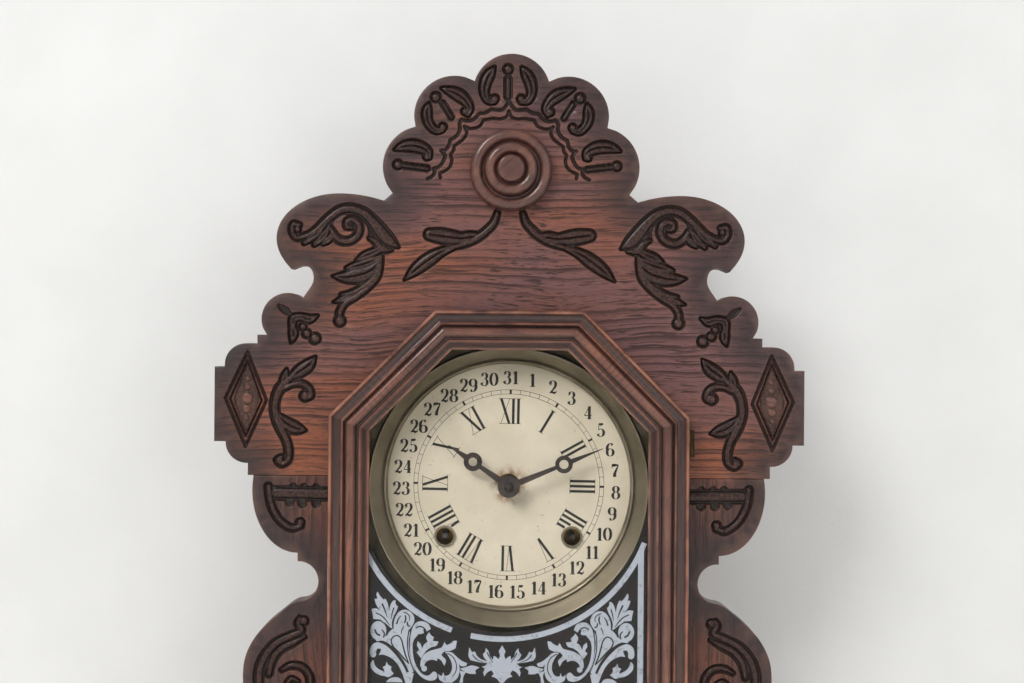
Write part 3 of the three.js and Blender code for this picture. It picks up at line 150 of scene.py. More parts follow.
# Oak under a reddish-brown tone and semi-gloss varnish: ring lines 4 to 5 mm apart that wander and break up,
# streaks 1 mm wide and short open pores 0.5 mm wide, both drawn coarser than real ones so that they show,
# rims sprayed darker, painted shade in the pressing that is darker the deeper it lies, and edges worn pale.
# On the door mouldings the dark tone is also painted shade in the valleys. On the boards, the pale colour
# along the strokes' rims is partly wear and partly a painted highlight.
oakLook = {
    "base": "#75504e", "warm": "#8f5238", "line": "#2b1b18", "pore": "#1d1412",
    "toneAndShadeColour": "#342c2d", "recess": "#211714", "crest": "#643c2e", "worn": "#c08a72",
    "figure": 55, "ringPitch": 5.2, "streakWidth": 1.1, "streakLength": 60, "poreWidth": 0.5,
    "poreLength": 6,
    "drift": 7.0, "driftReach": 0.022, "ringDistortion": 3.5,
    "lineStrength": 0.78, "toneAndShadeStrength": 0.96, "poreStrength": 0.5, "pressedShadeStrength": 0.94,
    "roughness": 0.4, "specular": 0.35, "coat": 0.2, "coatRoughness": 0.22,
    "bump": 0.35, "bumpDepth": 0.0004, "poreBump": 0.7, "lineBump": 0.3,
}


def oakMaterial(name, grain, **changes):
    look = {**oakLook, **changes}
    material, tree, place = startMaterial(name)
    turned = addNode(tree, "ShaderNodeMapping", {"Vector": place, "Rotation": grainTurns[grain]}).outputs[0]
    drift = addNode(tree, "ShaderNodeTexNoise", {"Vector": turned, "Scale": look["drift"], "Detail": 3.0})
    reach = (0, look["driftReach"], look["driftReach"])
    bend = addNode(tree, "ShaderNodeVectorMath", {0: drift.outputs["Color"], 1: reach}, operation="MULTIPLY")
    bent = addNode(tree, "ShaderNodeVectorMath", {0: turned, 1: bend.outputs[0]}, operation="ADD").outputs[0]
    figure = patchNoise(tree, bent, look["figure"], 3, (0.35, 1, 1), 0.4, 0.62)
    flat = addNode(tree, "ShaderNodeMapping", {"Vector": bent, "Scale": (0.04, 1, 1)}).outputs[0]
    # a saw wave has 20 radians to the unit, so this gives one ring line in each pitch
    waves = 2 * math.pi / (20 * look["ringPitch"] * mm)
    rings = addNode(tree, "ShaderNodeTexWave", {
        "Vector": flat, "Scale": waves, "Distortion": look["ringDistortion"], "Detail": 3.0,
        "Detail Scale": 1.3},
        wave_type="BANDS", bands_direction="Z", wave_profile="SAW").outputs["Fac"]
    ringEdge = addNode(tree, "ShaderNodeMapRange", {0: rings, 1: 0.5, 2: 0.9}, clamp=True).outputs[0]
    patchy = patchNoise(tree, bent, 16, 2, (0.12, 1, 1), 0.34, 0.56)
    ringShare = scaled(tree, ringEdge, patchy)
    streakStretch = (look["streakWidth"] / look["streakLength"], 1, 1)
    streaks = patchNoise(tree, bent, look["streakWidth"], 3, streakStretch, 0.54, 0.63)
    lines = addNode(tree, "ShaderNodeMath", {0: ringShare, 1: streaks}, operation="MAXIMUM").outputs[0]
    poreStretch = (look["poreWidth"] / look["poreLength"], 1, 1)
    pores = patchNoise(tree, turned, look["poreWidth"], 2, poreStretch, 0.54, 0.66)
    fleck = patchNoise(tree, place, 1.6, 3, (1, 1, 1), 0.42, 0.66)
    scuffs = patchNoise(tree, place, 16, 3, (1, 1, 1), 0.3, 0.66)
    toneAndShadeMask = addNode(tree, "ShaderNodeAttribute", attribute_name="toneAndShadeMask").outputs["Fac"]
    pressed = addNode(tree, "ShaderNodeAttribute", attribute_name="pressed").outputs["Fac"]
    worn = addNode(tree, "ShaderNodeAttribute", attribute_name="worn").outputs["Fac"]
    colour = blend(tree, figure, look["base"], look["warm"])
    lineShare = scaled(tree, lines, look["lineStrength"])
    colour = blend(tree, lineShare, colour, look["line"])
    # dark tone: sprayed on the boards' rims, and painted shade in the door mouldings' valleys
    toneAndShadeShare = scaled(tree, toneAndShadeMask, look["toneAndShadeStrength"])
    colour = blend(tree, toneAndShadeShare, colour, look["toneAndShadeColour"])
    poreShare = scaled(tree, pores, look["poreStrength"])
    colour = blend(tree, poreShare, colour, look["pore"])
    # painted shade in the pressing: the crest colour on the forms standing in it, the recess colour at its
    # deepest, and the wood darkened more the deeper it lies
    floor = blend(tree, fleck, look["recess"], look["crest"])
    deep = addNode(tree, "ShaderNodeMapRange", {0: pressed, 1: 0.2, 2: 0.9, 3: 0.1, 4: 1.0}, clamp=True)
    floor = blend(tree, deep.outputs[0], floor, look["recess"])
    shade = addNode(tree, "ShaderNodeMapRange", {
        0: pressed, 1: 0.02, 2: 0.3, 3: 0.0, 4: look["pressedShadeStrength"]}, clamp=True)
    colour = blend(tree, shade.outputs[0], colour, floor)
    rub = scaled(tree, worn, scuffs)
    colour = blend(tree, rub, colour, look["worn"])
    # pores and ring lines lie a little lower than the wood between them
    poreRelief = addNode(tree, "ShaderNodeMath", {0: pores, 1: -look["poreBump"], 2: 1.0},
                         operation="MULTIPLY_ADD").outputs[0]
    relief = addNode(tree, "ShaderNodeMath", {0: lines, 1: -look["lineBump"], 2: poreRelief},
                     operation="MULTIPLY_ADD").outputs[0]
    bump = addNode(tree, "ShaderNodeBump", {
        "Strength": look["bump"], "Distance": look["bumpDepth"], "Height": relief})
    gloss = addNode(tree, "ShaderNodeMapRange", {
        0: figure, 3: look["roughness"], 4: look["roughness"] + 0.1})
    shader = addNode(tree, "ShaderNodeBsdfPrincipled", {
        "Base Color": colour, "Roughness": gloss.outputs[0], "Normal": bump.outputs[0],
        "Coat Weight": look["coat"], "Coat Roughness": look["coatRoughness"], "IOR": 1.5,
        "Specular IOR Level": look["specular"],
    })
    addNode(tree, "ShaderNodeOutputMaterial", {"Surface": shader.outputs[0]})
    return material


def metalMaterial(name, bright, dull, roughness, patch=14, grit=0.8, bump=0.08, metallic=1.0):
    # sheet or rod metal, its lacquer worn in patches and its skin finely pitted
    material, tree, place = startMaterial(name)
    clouds = patchNoise(tree, place, patch, 4, (1, 1, 1), 0.35, 0.68)
    pits = patchNoise(tree, place, grit, 3, (1, 1, 1), 0.5, 0.7)
    colour = blend(tree, clouds, bright, dull)
    pitShare = scaled(tree, pits, 0.35)
    colour = blend(tree, pitShare, colour, dull)
    gloss = addNode(tree, "ShaderNodeMapRange", {0: clouds, 3: roughness, 4: roughness + 0.15}).outputs[0]
    relief = addNode(tree, "ShaderNodeBump", {"Strength": bump, "Distance": 0.0002, "Height": pits})
    shader = addNode(tree, "ShaderNodeBsdfPrincipled", {
        "Base Color": colour, "Metallic": metallic, "Roughness": gloss, "Normal": relief.outputs[0],
    })
    addNode(tree, "ShaderNodeOutputMaterial", {"Surface": shader.outputs[0]})
    return material


# Printed card, yellowed and handled: browner at the rim and round the centre arbor hole, with small foxing
# spots.
paperLook = {
    "clean": "#cfc6b2", "aged": "#c2b9a3", "stain": "#8a6038", "spot": "#8a6a48",
    "stainFrom": 0.0073, "stainTo": 0.0135, "rimFrom": 0.066, "rimTo": 0.076,
}


def paperMaterial(name, look):
    material, tree, place = startMaterial(name)
    clouds = patchNoise(tree, place, 30, 4)
    spots = patchNoise(tree, place, 2.2, 2, (1, 1, 1), 0.66, 0.76)
    centred = addNode(tree, "ShaderNodeMapping", {
        "Vector": place, "Location": (0, 0, -dialHeight * mm), "Scale": (1, 0, 1)}).outputs[0]
    reach = addNode(tree, "ShaderNodeVectorMath", {0: centred}, operation="LENGTH").outputs["Value"]
    middle = addNode(tree, "ShaderNodeMapRange", {
        0: reach, 1: look["stainFrom"], 2: look["stainTo"], 3: 1.0, 4: 0.0}, clamp=True)
    rimBand = addNode(tree, "ShaderNodeMapRange", {
        0: reach, 1: look["rimFrom"], 2: look["rimTo"], 3: 0.0, 4: 0.5}, clamp=True)
    smudge = patchNoise(tree, place, 5, 3, (1, 1, 1), 0.4, 0.62)
    colour = blend(tree, clouds, look["clean"], look["aged"])
    colour = blend(tree, scaled(tree, middle.outputs[0], smudge), colour, look["stain"])
    colour = blend(tree, rimBand.outputs[0], colour, look["aged"])
    spotShare = scaled(tree, spots, 0.45)
    colour = blend(tree, spotShare, colour, look["spot"])
    fibre = patchNoise(tree, place, 0.5, 3)
    bump = addNode(tree, "ShaderNodeBump", {"Strength": 0.1, "Distance": 0.0001, "Height": fibre})
    shader = addNode(tree, "ShaderNodeBsdfPrincipled", {
        "Base Color": colour, "Roughness": 0.7, "Normal": bump.outputs[0], "IOR": 1.45})
    addNode(tree, "ShaderNodeOutputMaterial", {"Surface": shader.outputs[0]})
    return material


def paintMaterial(name, main, patch, roughness, size=6, low=0.5, high=0.72):
    # ink or paint that has worn or faded in small patches
    material, tree, place = startMaterial(name)
    clouds = patchNoise(tree, place, size, 4, (1, 1, 1), low, high)
    colour = blend(tree, clouds, main, patch)
    gloss = addNode(tree, "ShaderNodeMapRange", {0: clouds, 3: roughness, 4: roughness + 0.12}).outputs[0]
    shader = addNode(tree, "ShaderNodeBsdfPrincipled", {
        "Base Color": colour, "Roughness": gloss, "IOR": 1.45})
    addNode(tree, "ShaderNodeOutputMaterial", {"Surface": shader.outputs[0]})
    return material


def glassMaterial(name):
    # old sheet glass, clear, with a faint drawn wave in it; lamps shine through it. The real pane shows
    # hardly any reflection, so its index is set lower than the 1.5 that is typical of glass.
    material, tree, place = startMaterial(name)
    wave = patchNoise(tree, place, 40, 1, (1, 1, 0.3), 0.3, 0.7)
    bump = addNode(tree, "ShaderNodeBump", {"Strength": 0.03, "Distance": 0.0005, "Height": wave})
    shader = addNode(tree, "ShaderNodeBsdfPrincipled", {
        "Base Color": "#fefdfc", "Roughness": 0.0, "IOR": 1.18, "Transmission Weight": 1.0,
        "Normal": bump.outputs[0]})
    clear = addNode(tree, "ShaderNodeBsdfTransparent", {"Color": "#fefdfc"})
    ray = addNode(tree, "ShaderNodeLightPath").outputs["Is Shadow Ray"]
    mixed = addNode(tree, "ShaderNodeMixShader", {0: ray, 1: shader.outputs[0], 2: clear.outputs[0]})
    addNode(tree, "ShaderNodeOutputMaterial", {"Surface": mixed.outputs[0]})
    return material


oakAcross = oakMaterial("tonedOakAcross", "across")
oakUpright = oakMaterial("tonedOakUpright", "upright", base="#5a3934", warm="#704232", bump=0.4)
# the door's dark tone is the painted shade in its moulding valleys and the dark of its mitre joints
doorOak = {"base": "#5c332c", "warm": "#80452e", "toneAndShadeColour": "#2b1b19", "worn": "#b87c60", "ringPitch": 4.2,
           "streakWidth": 0.9, "specular": 0.5, "coat": 0.7, "coatRoughness": 0.12, "roughness": 0.34}
doorOakAcross = oakMaterial("doorOakAcross", "across", **doorOak)
doorOakUpright = oakMaterial("doorOakUpright", "upright", **doorOak)
doorOakRising = oakMaterial("doorOakRising", "rising", **doorOak)
doorOakFalling = oakMaterial("doorOakFalling", "falling", **doorOak)
rosetteOak = oakMaterial("turnedOak", "rising", base="#4a302d", warm="#683b30", worn="#96604a", coat=0.6,
                         coatRoughness=0.12, specular=0.5)
stain = {"base": "#4a2e27", "warm": "#5e3a2e", "line": "#2c1c18", "coat": 0.1, "coatRoughness": 0.4,
         "roughness": 0.55}
caseWood = oakMaterial("stainedCaseWood", "upright", **stain)
caseWoodAcross = oakMaterial("stainedCaseWoodAcross", "inward", **stain)
rawWood = oakMaterial("bareBasswood", "upright", base="#a98a62", warm="#b99a70", line="#8a6d4a",
                      pore="#7a5f40", coat=0.0, roughness=0.75)
bezelBrass = metalMaterial("dullBezelBrass", "#9a917f", "#7b735f", 0.42, patch=26)
darkBrass = metalMaterial("brownedBrass", "#5d4a30", "#33291e", 0.45)
brightBrass = metalMaterial("agedClockBrass", "#a5803f", "#6b522b", 0.34)
steel = metalMaterial("arborSteel", "#6f6f6d", "#3a3836", 0.3)
handSteel = metalMaterial("blackedHandSteel", "#2a2523", "#453b36", 0.48, patch=5, metallic=0.3)
tin = metalMaterial("tinnedPan", "#9c937b", "#70684f", 0.45)
paper = paperMaterial("agedDialPaper", paperLook)
ink = paintMaterial("printersInk", "#1a1a17", "#302f28", 0.6, size=1.5)
groundBlack = paintMaterial("blackGlassGround", "#0c0b0c", "#2a1613", 0.4, size=30, low=0.56, high=0.78)
silverPaint = paintMaterial("silverGlassPrint", "#a9b0bb", "#82878f", 0.45, size=2.4, low=0.56, high=0.74)
oldGlass = glassMaterial("oldSheetGlass")
print("materials made")


# ---- mesh helpers ----
def finishPiece(name, mesh, material, body, stands=(), smooth=None):
    piece = bpy.data.objects.new(name, mesh)
    bpy.context.scene.collection.objects.link(piece)
    if material is not None:
        mesh.materials.clear()
        mesh.materials.append(material)
    if smooth is not None:
        mesh.shade_smooth()
        mesh.set_sharp_from_angle(angle=math.radians(smooth))
    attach(piece, body)
    if stands:
        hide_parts(*stands)
    return piece


def meshFrom(name, points, faces, attributes=None):
    # points in millimetres; faces end up pointing outwards
    mesh = bpy.data.meshes.new(name)
    mesh.from_pydata((np.asarray(points, float) * mm).tolist(), [], faces)
    for label, values in (attributes or {}).items():
        column = mesh.attributes.new(label, "FLOAT", "POINT")
        column.data.foreach_set("value", np.asarray(values, np.float32))
    shell = bmesh.new()
    shell.from_mesh(mesh)
    bmesh.ops.recalc_face_normals(shell, faces=shell.faces)
    shell.to_mesh(mesh)
    shell.free()
    mesh.update()
    return mesh


def smoothPath(points, step=1.0):
    # a curve through the points; every column is carried along, so a width changes smoothly too
    points = np.asarray(points, float)
    spans = np.maximum(np.linalg.norm(np.diff(points[:, :2], axis=0), axis=1), 1e-6)
    pace = np.diff(points, axis=0) / spans[:, None]
    before, after = np.vstack([pace[:1], pace]), np.vstack([pace, pace[-1:]])
    wide = np.concatenate([spans[:1], spans])[:, None], np.concatenate([spans, spans[-1:]])[:, None]
    slopes = (before * wide[1] + after * wide[0]) / (wide[0] + wide[1])
    found = []
    for k, span in enumerate(spans):
        count = max(2, int(span / step))
        for t in np.arange(count) / count:
            here, there = 2 * t ** 3 - 3 * t ** 2 + 1, 3 * t ** 2 - 2 * t ** 3
            leaving, arriving = t ** 3 - 2 * t ** 2 + t, t ** 3 - t ** 2
            found.append(here * points[k] + leaving * span * slopes[k]
                         + there * points[k + 1] + arriving * span * slopes[k + 1])
    found.append(points[-1])
    return np.array(found)


def turnedShape(profile, sides, centre):
    # profile rows are radius, height and wear; the axis stands on centre and points to the front
    profile = np.asarray(profile, float)
    axis = Vector((0, -1, 0))
    across = axis.orthogonal().normalized()
    along = axis.cross(across)
    points, wear, faces, rings = [], [], [], []
    for radius, height, rub in profile:
        count = 1 if radius < 1e-6 else sides
        rings.append((len(points), count))
        for k in range(count):
            angle = 2 * math.pi * k / sides
            spot = across * (radius * math.cos(angle)) + along * (radius * math.sin(angle)) + axis * height
            points.append(Vector(centre) + spot)
            wear.append(rub)
    for (start, count), (after, nextCount) in zip(rings, rings[1:]):
        for k in range(sides):
            m = (k + 1) % sides
            if count == 1:
                faces.append((start, after + k, after + m))
            elif nextCount == 1:
                faces.append((start + k, start + m, after))
            else:
                faces.append((start + k, start + m, after + m, after + k))
    return [tuple(p) for p in points], faces, wear


def prism(outline, front, back):
    # a closed flat form between two depths; outline is a list of x, z
    count = len(outline)
    points = [(x, front, z) for x, z in outline] + [(x, back, z) for x, z in outline]
    sides = [(k, (k + 1) % count, count + (k + 1) % count, count + k) for k in range(count)]
    return points, [tuple(range(count)), tuple(reversed(range(count, 2 * count)))] + sides


def ribbon(path, front, back):
    # a closed strip of changing width along x, z, width rows
    path = np.asarray(path, float)
    run = np.gradient(path[:, :2], axis=0)
    run /= np.linalg.norm(run, axis=1)[:, None] + 1e-9
    side = np.stack([-run[:, 1], run[:, 0]], 1) * np.maximum(path[:, 2:3], 0.02) / 2
    left, right = path[:, :2] + side, path[:, :2] - side
    count = len(path)
    rows = [(left, front), (right, front), (right, back), (left, back)]
    points = [(x, depth, z) for line, depth in rows for x, z in line]
    faces = []
    for k in range(count - 1):
        for a in range(4):
            b = (a + 1) % 4
            faces.append((a * count + k, a * count + k + 1, b * count + k + 1, b * count + k))
    faces.append(tuple(a * count for a in range(4)))
    faces.append(tuple(a * count + count - 1 for a in reversed(range(4))))
    return points, faces


def gather(parts):  # many points-and-faces parts as one
    points, faces = [], []
    for partPoints, partFaces in parts:
        start = len(points)
        points.extend(partPoints)
        faces.extend(tuple(start + k for k in face) for face in partFaces)
    return points, faces


# ---- pressed boards ----
# How each kind of stroke is pressed, in millimetres: depth of its floor, width of its wall, how far the
# recess spreads past the stroke, height of the form left standing in it, that form's share of the width, and
# how strongly a leaf is split by a vein.
pressing = {
    "rib": {"depth": 2.2, "wall": 0.9, "spread": 1.2, "crown": 1.7, "fill": 0.8, "vein": 0.0},
    "leaf": {"depth": 2.2, "wall": 0.9, "spread": 1.2, "crown": 1.7, "fill": 0.95, "vein": 0.85},
    "groove": {"depth": 1.7, "wall": 1.2, "spread": 0.3, "crown": 0.0, "fill": 1.0, "vein": 0.0},
    "slot": {"depth": 2.2, "wall": 0.6, "spread": 0.7, "crown": 1.2, "fill": 0.62, "vein": 0.0},
    "bead": {"depth": 2.2, "wall": 0.7, "spread": 0.9, "crown": 1.9, "fill": 0.85, "vein": 0.0},
    "hollow": {"depth": 1.7, "wall": 2.2, "spread": 0.3, "crown": 0.0, "fill": 1.0, "vein": 0.0},
    "field": {"depth": 1.1, "wall": 0.6, "spread": 0.0, "crown": 0.0, "fill": 1.0, "vein": 0.0},
    "boss": {"depth": 1.1, "wall": 0.6, "spread": 0.0, "crown": 1.3, "fill": 1.0, "vein": 0.0},
}
boardLook = {
    "outlineStep": 1.3, "fine": 0.45, "fineReach": 0.55, "fineGap": 0.3,
    "coarse": 7.0, "coarseReach": 1.2, "coarseGap": 2.5, "ease": 0.6,
    "rimReach": 27.0, "rimFalloff": 0.75, "edgeWear": 0.35, "strokeWearAndHighlight": 0.12,
}


def curve(kind, *points):
    return kind, smoothPath(points)


def straight(kind, *points):
    rows = [np.array(points[0], float)]
    for start, end in zip(points, points[1:]):
        start, end = np.array(start, float), np.array(end, float)
        count = max(1, int(np.linalg.norm(end - start) / 2))
        rows.extend(start + (end - start) * (k + 1) / count for k in range(count))
    return kind, np.array(rows)


def cornered(points, step=0.9):
    # rows smoothed between sharp points, which carry a third value; the first and the last are ends
    sharp = [k for k, point in enumerate(points) if len(point) > 2 or k in (0, len(points) - 1)]
    spots = [tuple(point[:2]) for point in points]
    rows = []
    for start, end in zip(sharp, sharp[1:]):
        rows += [tuple(row) for row in smoothPath(spots[start:end + 1], step)[:-1]]
    return rows + [spots[-1]]


def scallops(width, *points):
    return "groove", np.array([(x, z, width) for x, z in cornered(points)])


def dot(kind, x, z, radius):
    return kind, np.array([(x, z, 2 * radius), (x + 0.01, z, 2 * radius)])


def bothSides(marks):
    return marks + [(kind, rows * np.array([-1, 1, 1])) for kind, rows in marks]


def shifted(across, marks):
    return [(kind, rows + np.array([across, 0, 0])) for kind, rows in marks]


# x and z in millimetres with the stroke's width third, for the right half; the lobe's pressing is a little
# off centre
headMarks = shifted(-1.6, bothSides([
    scallops(2.4, (0, 531.3), (3.8, 526.2), (10.8, 526.2, 1), (14.1, 524.1), (17.8, 523.6, 1),
             (21.4, 520), (25.1, 519.1), (28.4, 520, 1), (29.9, 517), (29.6, 514), (31.2, 510.4),
             (35.4, 507.4, 1), (36.4, 503.8), (38.5, 501.3), (40.9, 501.1, 1), (38.5, 497.7),
             (39.8, 494.1), (42.2, 491.1), (45.3, 490.2, 1), (44.7, 487.5), (46.5, 485.1),
             (48.9, 483.9)),
    scallops(2.1, (0, 525.2), (1.4, 521.9), (5.1, 520.4), (9.3, 520.8, 1), (12.3, 520.2),
             (15.4, 519.6, 1), (17.2, 516.3), (20.3, 514.8), (23.9, 514.5), (26.9, 515.8, 1),
             (25.4, 512.1), (27, 508.5), (30.6, 505.5), (33, 503.7, 1), (33.4, 500.7), (34.9, 498.9),
             (34.3, 495.3), (35.6, 491), (38.6, 488.6), (41.6, 487.2, 1), (41.1, 484.4)),
])) + bothSides([
    # diamond
    straight("groove", (158.5, 378.3, 2.2), (171.8, 350.4, 2.2), (159.4, 321.1, 2.2),
             (146.9, 349.1, 2.2), (158.5, 378.3, 2.2)),
    straight("groove", (158.6, 373, 1.6), (168.9, 350, 1.6), (159.5, 327.2, 1.6), (149.8, 349, 1.6),
             (158.6, 373, 1.6)),
    straight("field", (158.6, 370.5, 1), (159, 349.8, 15.5), (159.4, 330, 1)),
    dot("boss", 158.4, 362.2, 1.9),
    dot("boss", 158.5, 357, 2.1),
    dot("boss", 158.7, 350.3, 3.8),
    dot("boss", 159.1, 343.9, 2.8),
    dot("boss", 159.3, 338.7, 1.8),
]) + shifted(-2.3, bothSides(shifted(-3.4, [
    curve("leaf", (11.6, 551.8, 1.2), (14.6, 547.5, 6), (17.3, 541.4, 6.4), (17.5, 535.4, 5),
          (15.1, 531.4, 4.2), (11.6, 531, 3.4)),
    dot("bead", 11.3, 532.6, 2.6),
    curve("leaf", (43.6, 538.8, 1.2), (38.1, 537, 5.4), (32.6, 534.4, 7.3), (28.4, 530.5, 5.6),
          (26.5, 526.2, 4.4), (27.7, 523.4, 3.4)),
    dot("bead", 29.2, 524.8, 2.5),
    curve("leaf", (51.3, 529.7, 1.2), (52.2, 525.4, 5.4), (52.2, 520.6, 5.6), (50, 515.8, 5),
          (46.4, 513.1, 4.4), (43.1, 513.6, 3.4)),
    dot("bead", 42.6, 515.4, 2.5),
    dot("bead", 47.1, 533.3, 3.2),
    straight("slot", (42.8, 529.7, 3.6), (37.5, 521.1, 3.6)),
    curve("leaf", (71.7, 501.4, 1.2), (66.9, 503.2, 5.4), (60.8, 503.9, 7.3), (55.4, 502.7, 6.7),
          (51.4, 500, 4.8), (50.9, 497, 3.2)),
    dot("bead", 52.2, 497.2, 2.3),
    dot("bead", 69.7, 492.3, 3),
    straight("slot", (66.5, 491.8, 3.9), (51.9, 490.1, 3.9)),
])) + [
    dot("bead", 0, 550.6, 3.1),
    straight("slot", (0, 544.4, 4.8), (0, 534, 4.8)),
]) + shifted(-0.5, bothSides(shifted(-2, [
    curve("rib", (9.7, 463.5, 3), (11.5, 458, 4.2), (16.3, 452.5, 4.8), (22.9, 447.6, 4.8),
          (31.3, 443.9, 3.6), (40.4, 442, 2.4)),
    curve("leaf", (19.9, 449.8, 3), (26.5, 448.6, 7), (31.5, 448, 6.4), (36, 448.4, 8), (44, 449.4, 9),
          (50.4, 450.2, 7)),
    curve("leaf", (34.3, 442.7, 1.8), (43.4, 439.6, 5.4), (51.2, 434.7, 7.9), (58.4, 429.2, 6.7),
          (65.6, 422.5, 0.6)),
    # ear
    curve("rib", (129.4, 455.3, 3), (133, 455.8, 3.6), (133.9, 451.6, 3.6), (131.2, 447.7, 3.6),
          (126.3, 448.6, 3.6), (120.9, 451.1, 4.2), (115.5, 456, 4.8), (110.1, 460.9, 5.4),
          (104.1, 464.8, 5.4), (98, 465.5, 5.4), (91.4, 463.4, 6), (85.3, 458, 7.3), (80.4, 452, 8.5),
          (75.5, 446.6, 7.9), (69.4, 442.4, 1.2)),
    dot("bead", 130.6, 452.8, 2.2),
    curve("groove", (109.6, 453.6, 2.2), (109.5, 457.8, 1.8), (107.1, 460.6, 1.6), (103.5, 462, 1.6),
          (98, 462.2, 1.6), (92.6, 460.8, 1.8), (88.6, 457.4, 1.8), (87, 452.6, 2.2),
          (87.2, 446.5, 2.6)),
    curve("rib", (110, 452.6, 3.6), (107.6, 448.5, 4.6), (103.3, 445.8, 4.8), (98.5, 446.1, 4.8),
          (94.6, 448.9, 4.8), (93.1, 452.8, 4.8), (94.3, 457, 4.4), (98, 458.9, 4.2), (101, 457.4, 3.6),
          (100.7, 454.4, 3.4), (97.9, 453.9, 2.6)),
    curve("leaf", (112.5, 457.8, 1.8), (120.3, 449.3, 4.8), (126.3, 444.4, 2.4)),
    curve("leaf", (111.3, 454.8, 1.8), (115.4, 448.1, 4.8), (120.2, 443.5, 2.4)),
    curve("leaf", (109.4, 450.6, 1.8), (111.8, 446.6, 4.2), (114.8, 444.2, 2.4)),
    curve("rib", (87, 447.7, 1.8), (83.4, 445.9, 4.2), (79.1, 441.1, 4.8), (73.6, 440.6, 1.8)),
    curve("leaf", (78.5, 442.3, 3), (83.9, 439.3, 4.8), (89.9, 436.8, 4.8), (94.8, 434.4, 1.2)),
    curve("leaf", (80.3, 436.3, 3), (86.9, 433.2, 5.4), (94.7, 430.7, 5.4), (100.8, 429.5, 1.8)),
    curve("leaf", (80.8, 433.3, 2.4), (85.6, 428.4, 7.3), (93.5, 425.3, 9.7), (101.3, 424, 6.7),
          (109.2, 424.6, 0.6)),
    curve("rib", (80.3, 436.9, 3.6), (80.5, 430.8, 3.6), (83.8, 424.2, 4.2), (90.4, 418.1, 4.2),
          (97.6, 414.4, 3.6), (103.7, 413.4, 1.8)),
    curve("rib", (79.6, 433.3, 2.4), (81.7, 424.8, 3.6), (87.4, 418.1, 4.2), (95.2, 412, 4.2),
          (101.8, 407.7, 4.2), (104.5, 402.8, 4.2), (104.4, 397.4, 4.2)),
    curve("leaf", (96.4, 413.8, 2.4), (102.4, 410.7, 4.2), (108.5, 408.8, 0.6)),
    dot("bead", 104.4, 397.4, 3.6),
    # small lobe
    curve("groove", (141.5, 406.4, 2.6), (137.8, 403.8, 5), (133.7, 400.6, 2.6)),
    curve("leaf", (133.2, 394.1, 4.2), (132.6, 398.4, 4.8), (127.8, 399.6, 4.5), (122.9, 398.4, 5.1),
          (117.8, 400.6, 0.9)),
    curve("leaf", (133.2, 394.1, 3.6), (132.5, 389.3, 5.4), (133.7, 384.1, 0.9)),
    dot("bead", 126.8, 393.7, 2.4),
    dot("bead", 124.4, 389.6, 2.9),
    dot("bead", 119.4, 386.7, 3.6),
    # scroll beside the door
    curve("rib", (139.2, 314.8, 3), (141.6, 313, 3.6), (139.2, 310.6, 3.6), (135.6, 312.7, 4.2),
          (134.7, 318.5, 4.8), (136.3, 325.1, 4.8), (139.3, 331.1, 5.4), (142.1, 337.2, 5.4),
          (143.5, 343.8, 5.4), (142.8, 350.5, 5.4), (140.1, 356.6, 6), (135.6, 361.4, 4.8),
          (131.7, 365.1, 3)),
    dot("bead", 140.1, 313, 2.4),
    curve("leaf", (133.5, 363.3, 3.6), (128.7, 366.6, 7.3), (123.9, 370, 7.3), (118.9, 375.8, 0.6)),
    curve("leaf", (138.9, 357.8, 4.2), (137.5, 363.2, 4.8), (136.4, 368.1, 0.9)),
    curve("rib", (137.7, 356.6, 3.6), (132, 359, 3.6), (126.8, 359.1, 4.2), (122.6, 356.1, 4.2),
          (121.6, 351.9, 3.6), (125, 350, 3)),
    dot("bead", 125, 351.8, 3.5),
    curve("leaf", (141.2, 339.6, 3.6), (135.7, 334.8, 7.3), (130.9, 332.4, 7.3), (124.4, 331, 0.9)),
])))

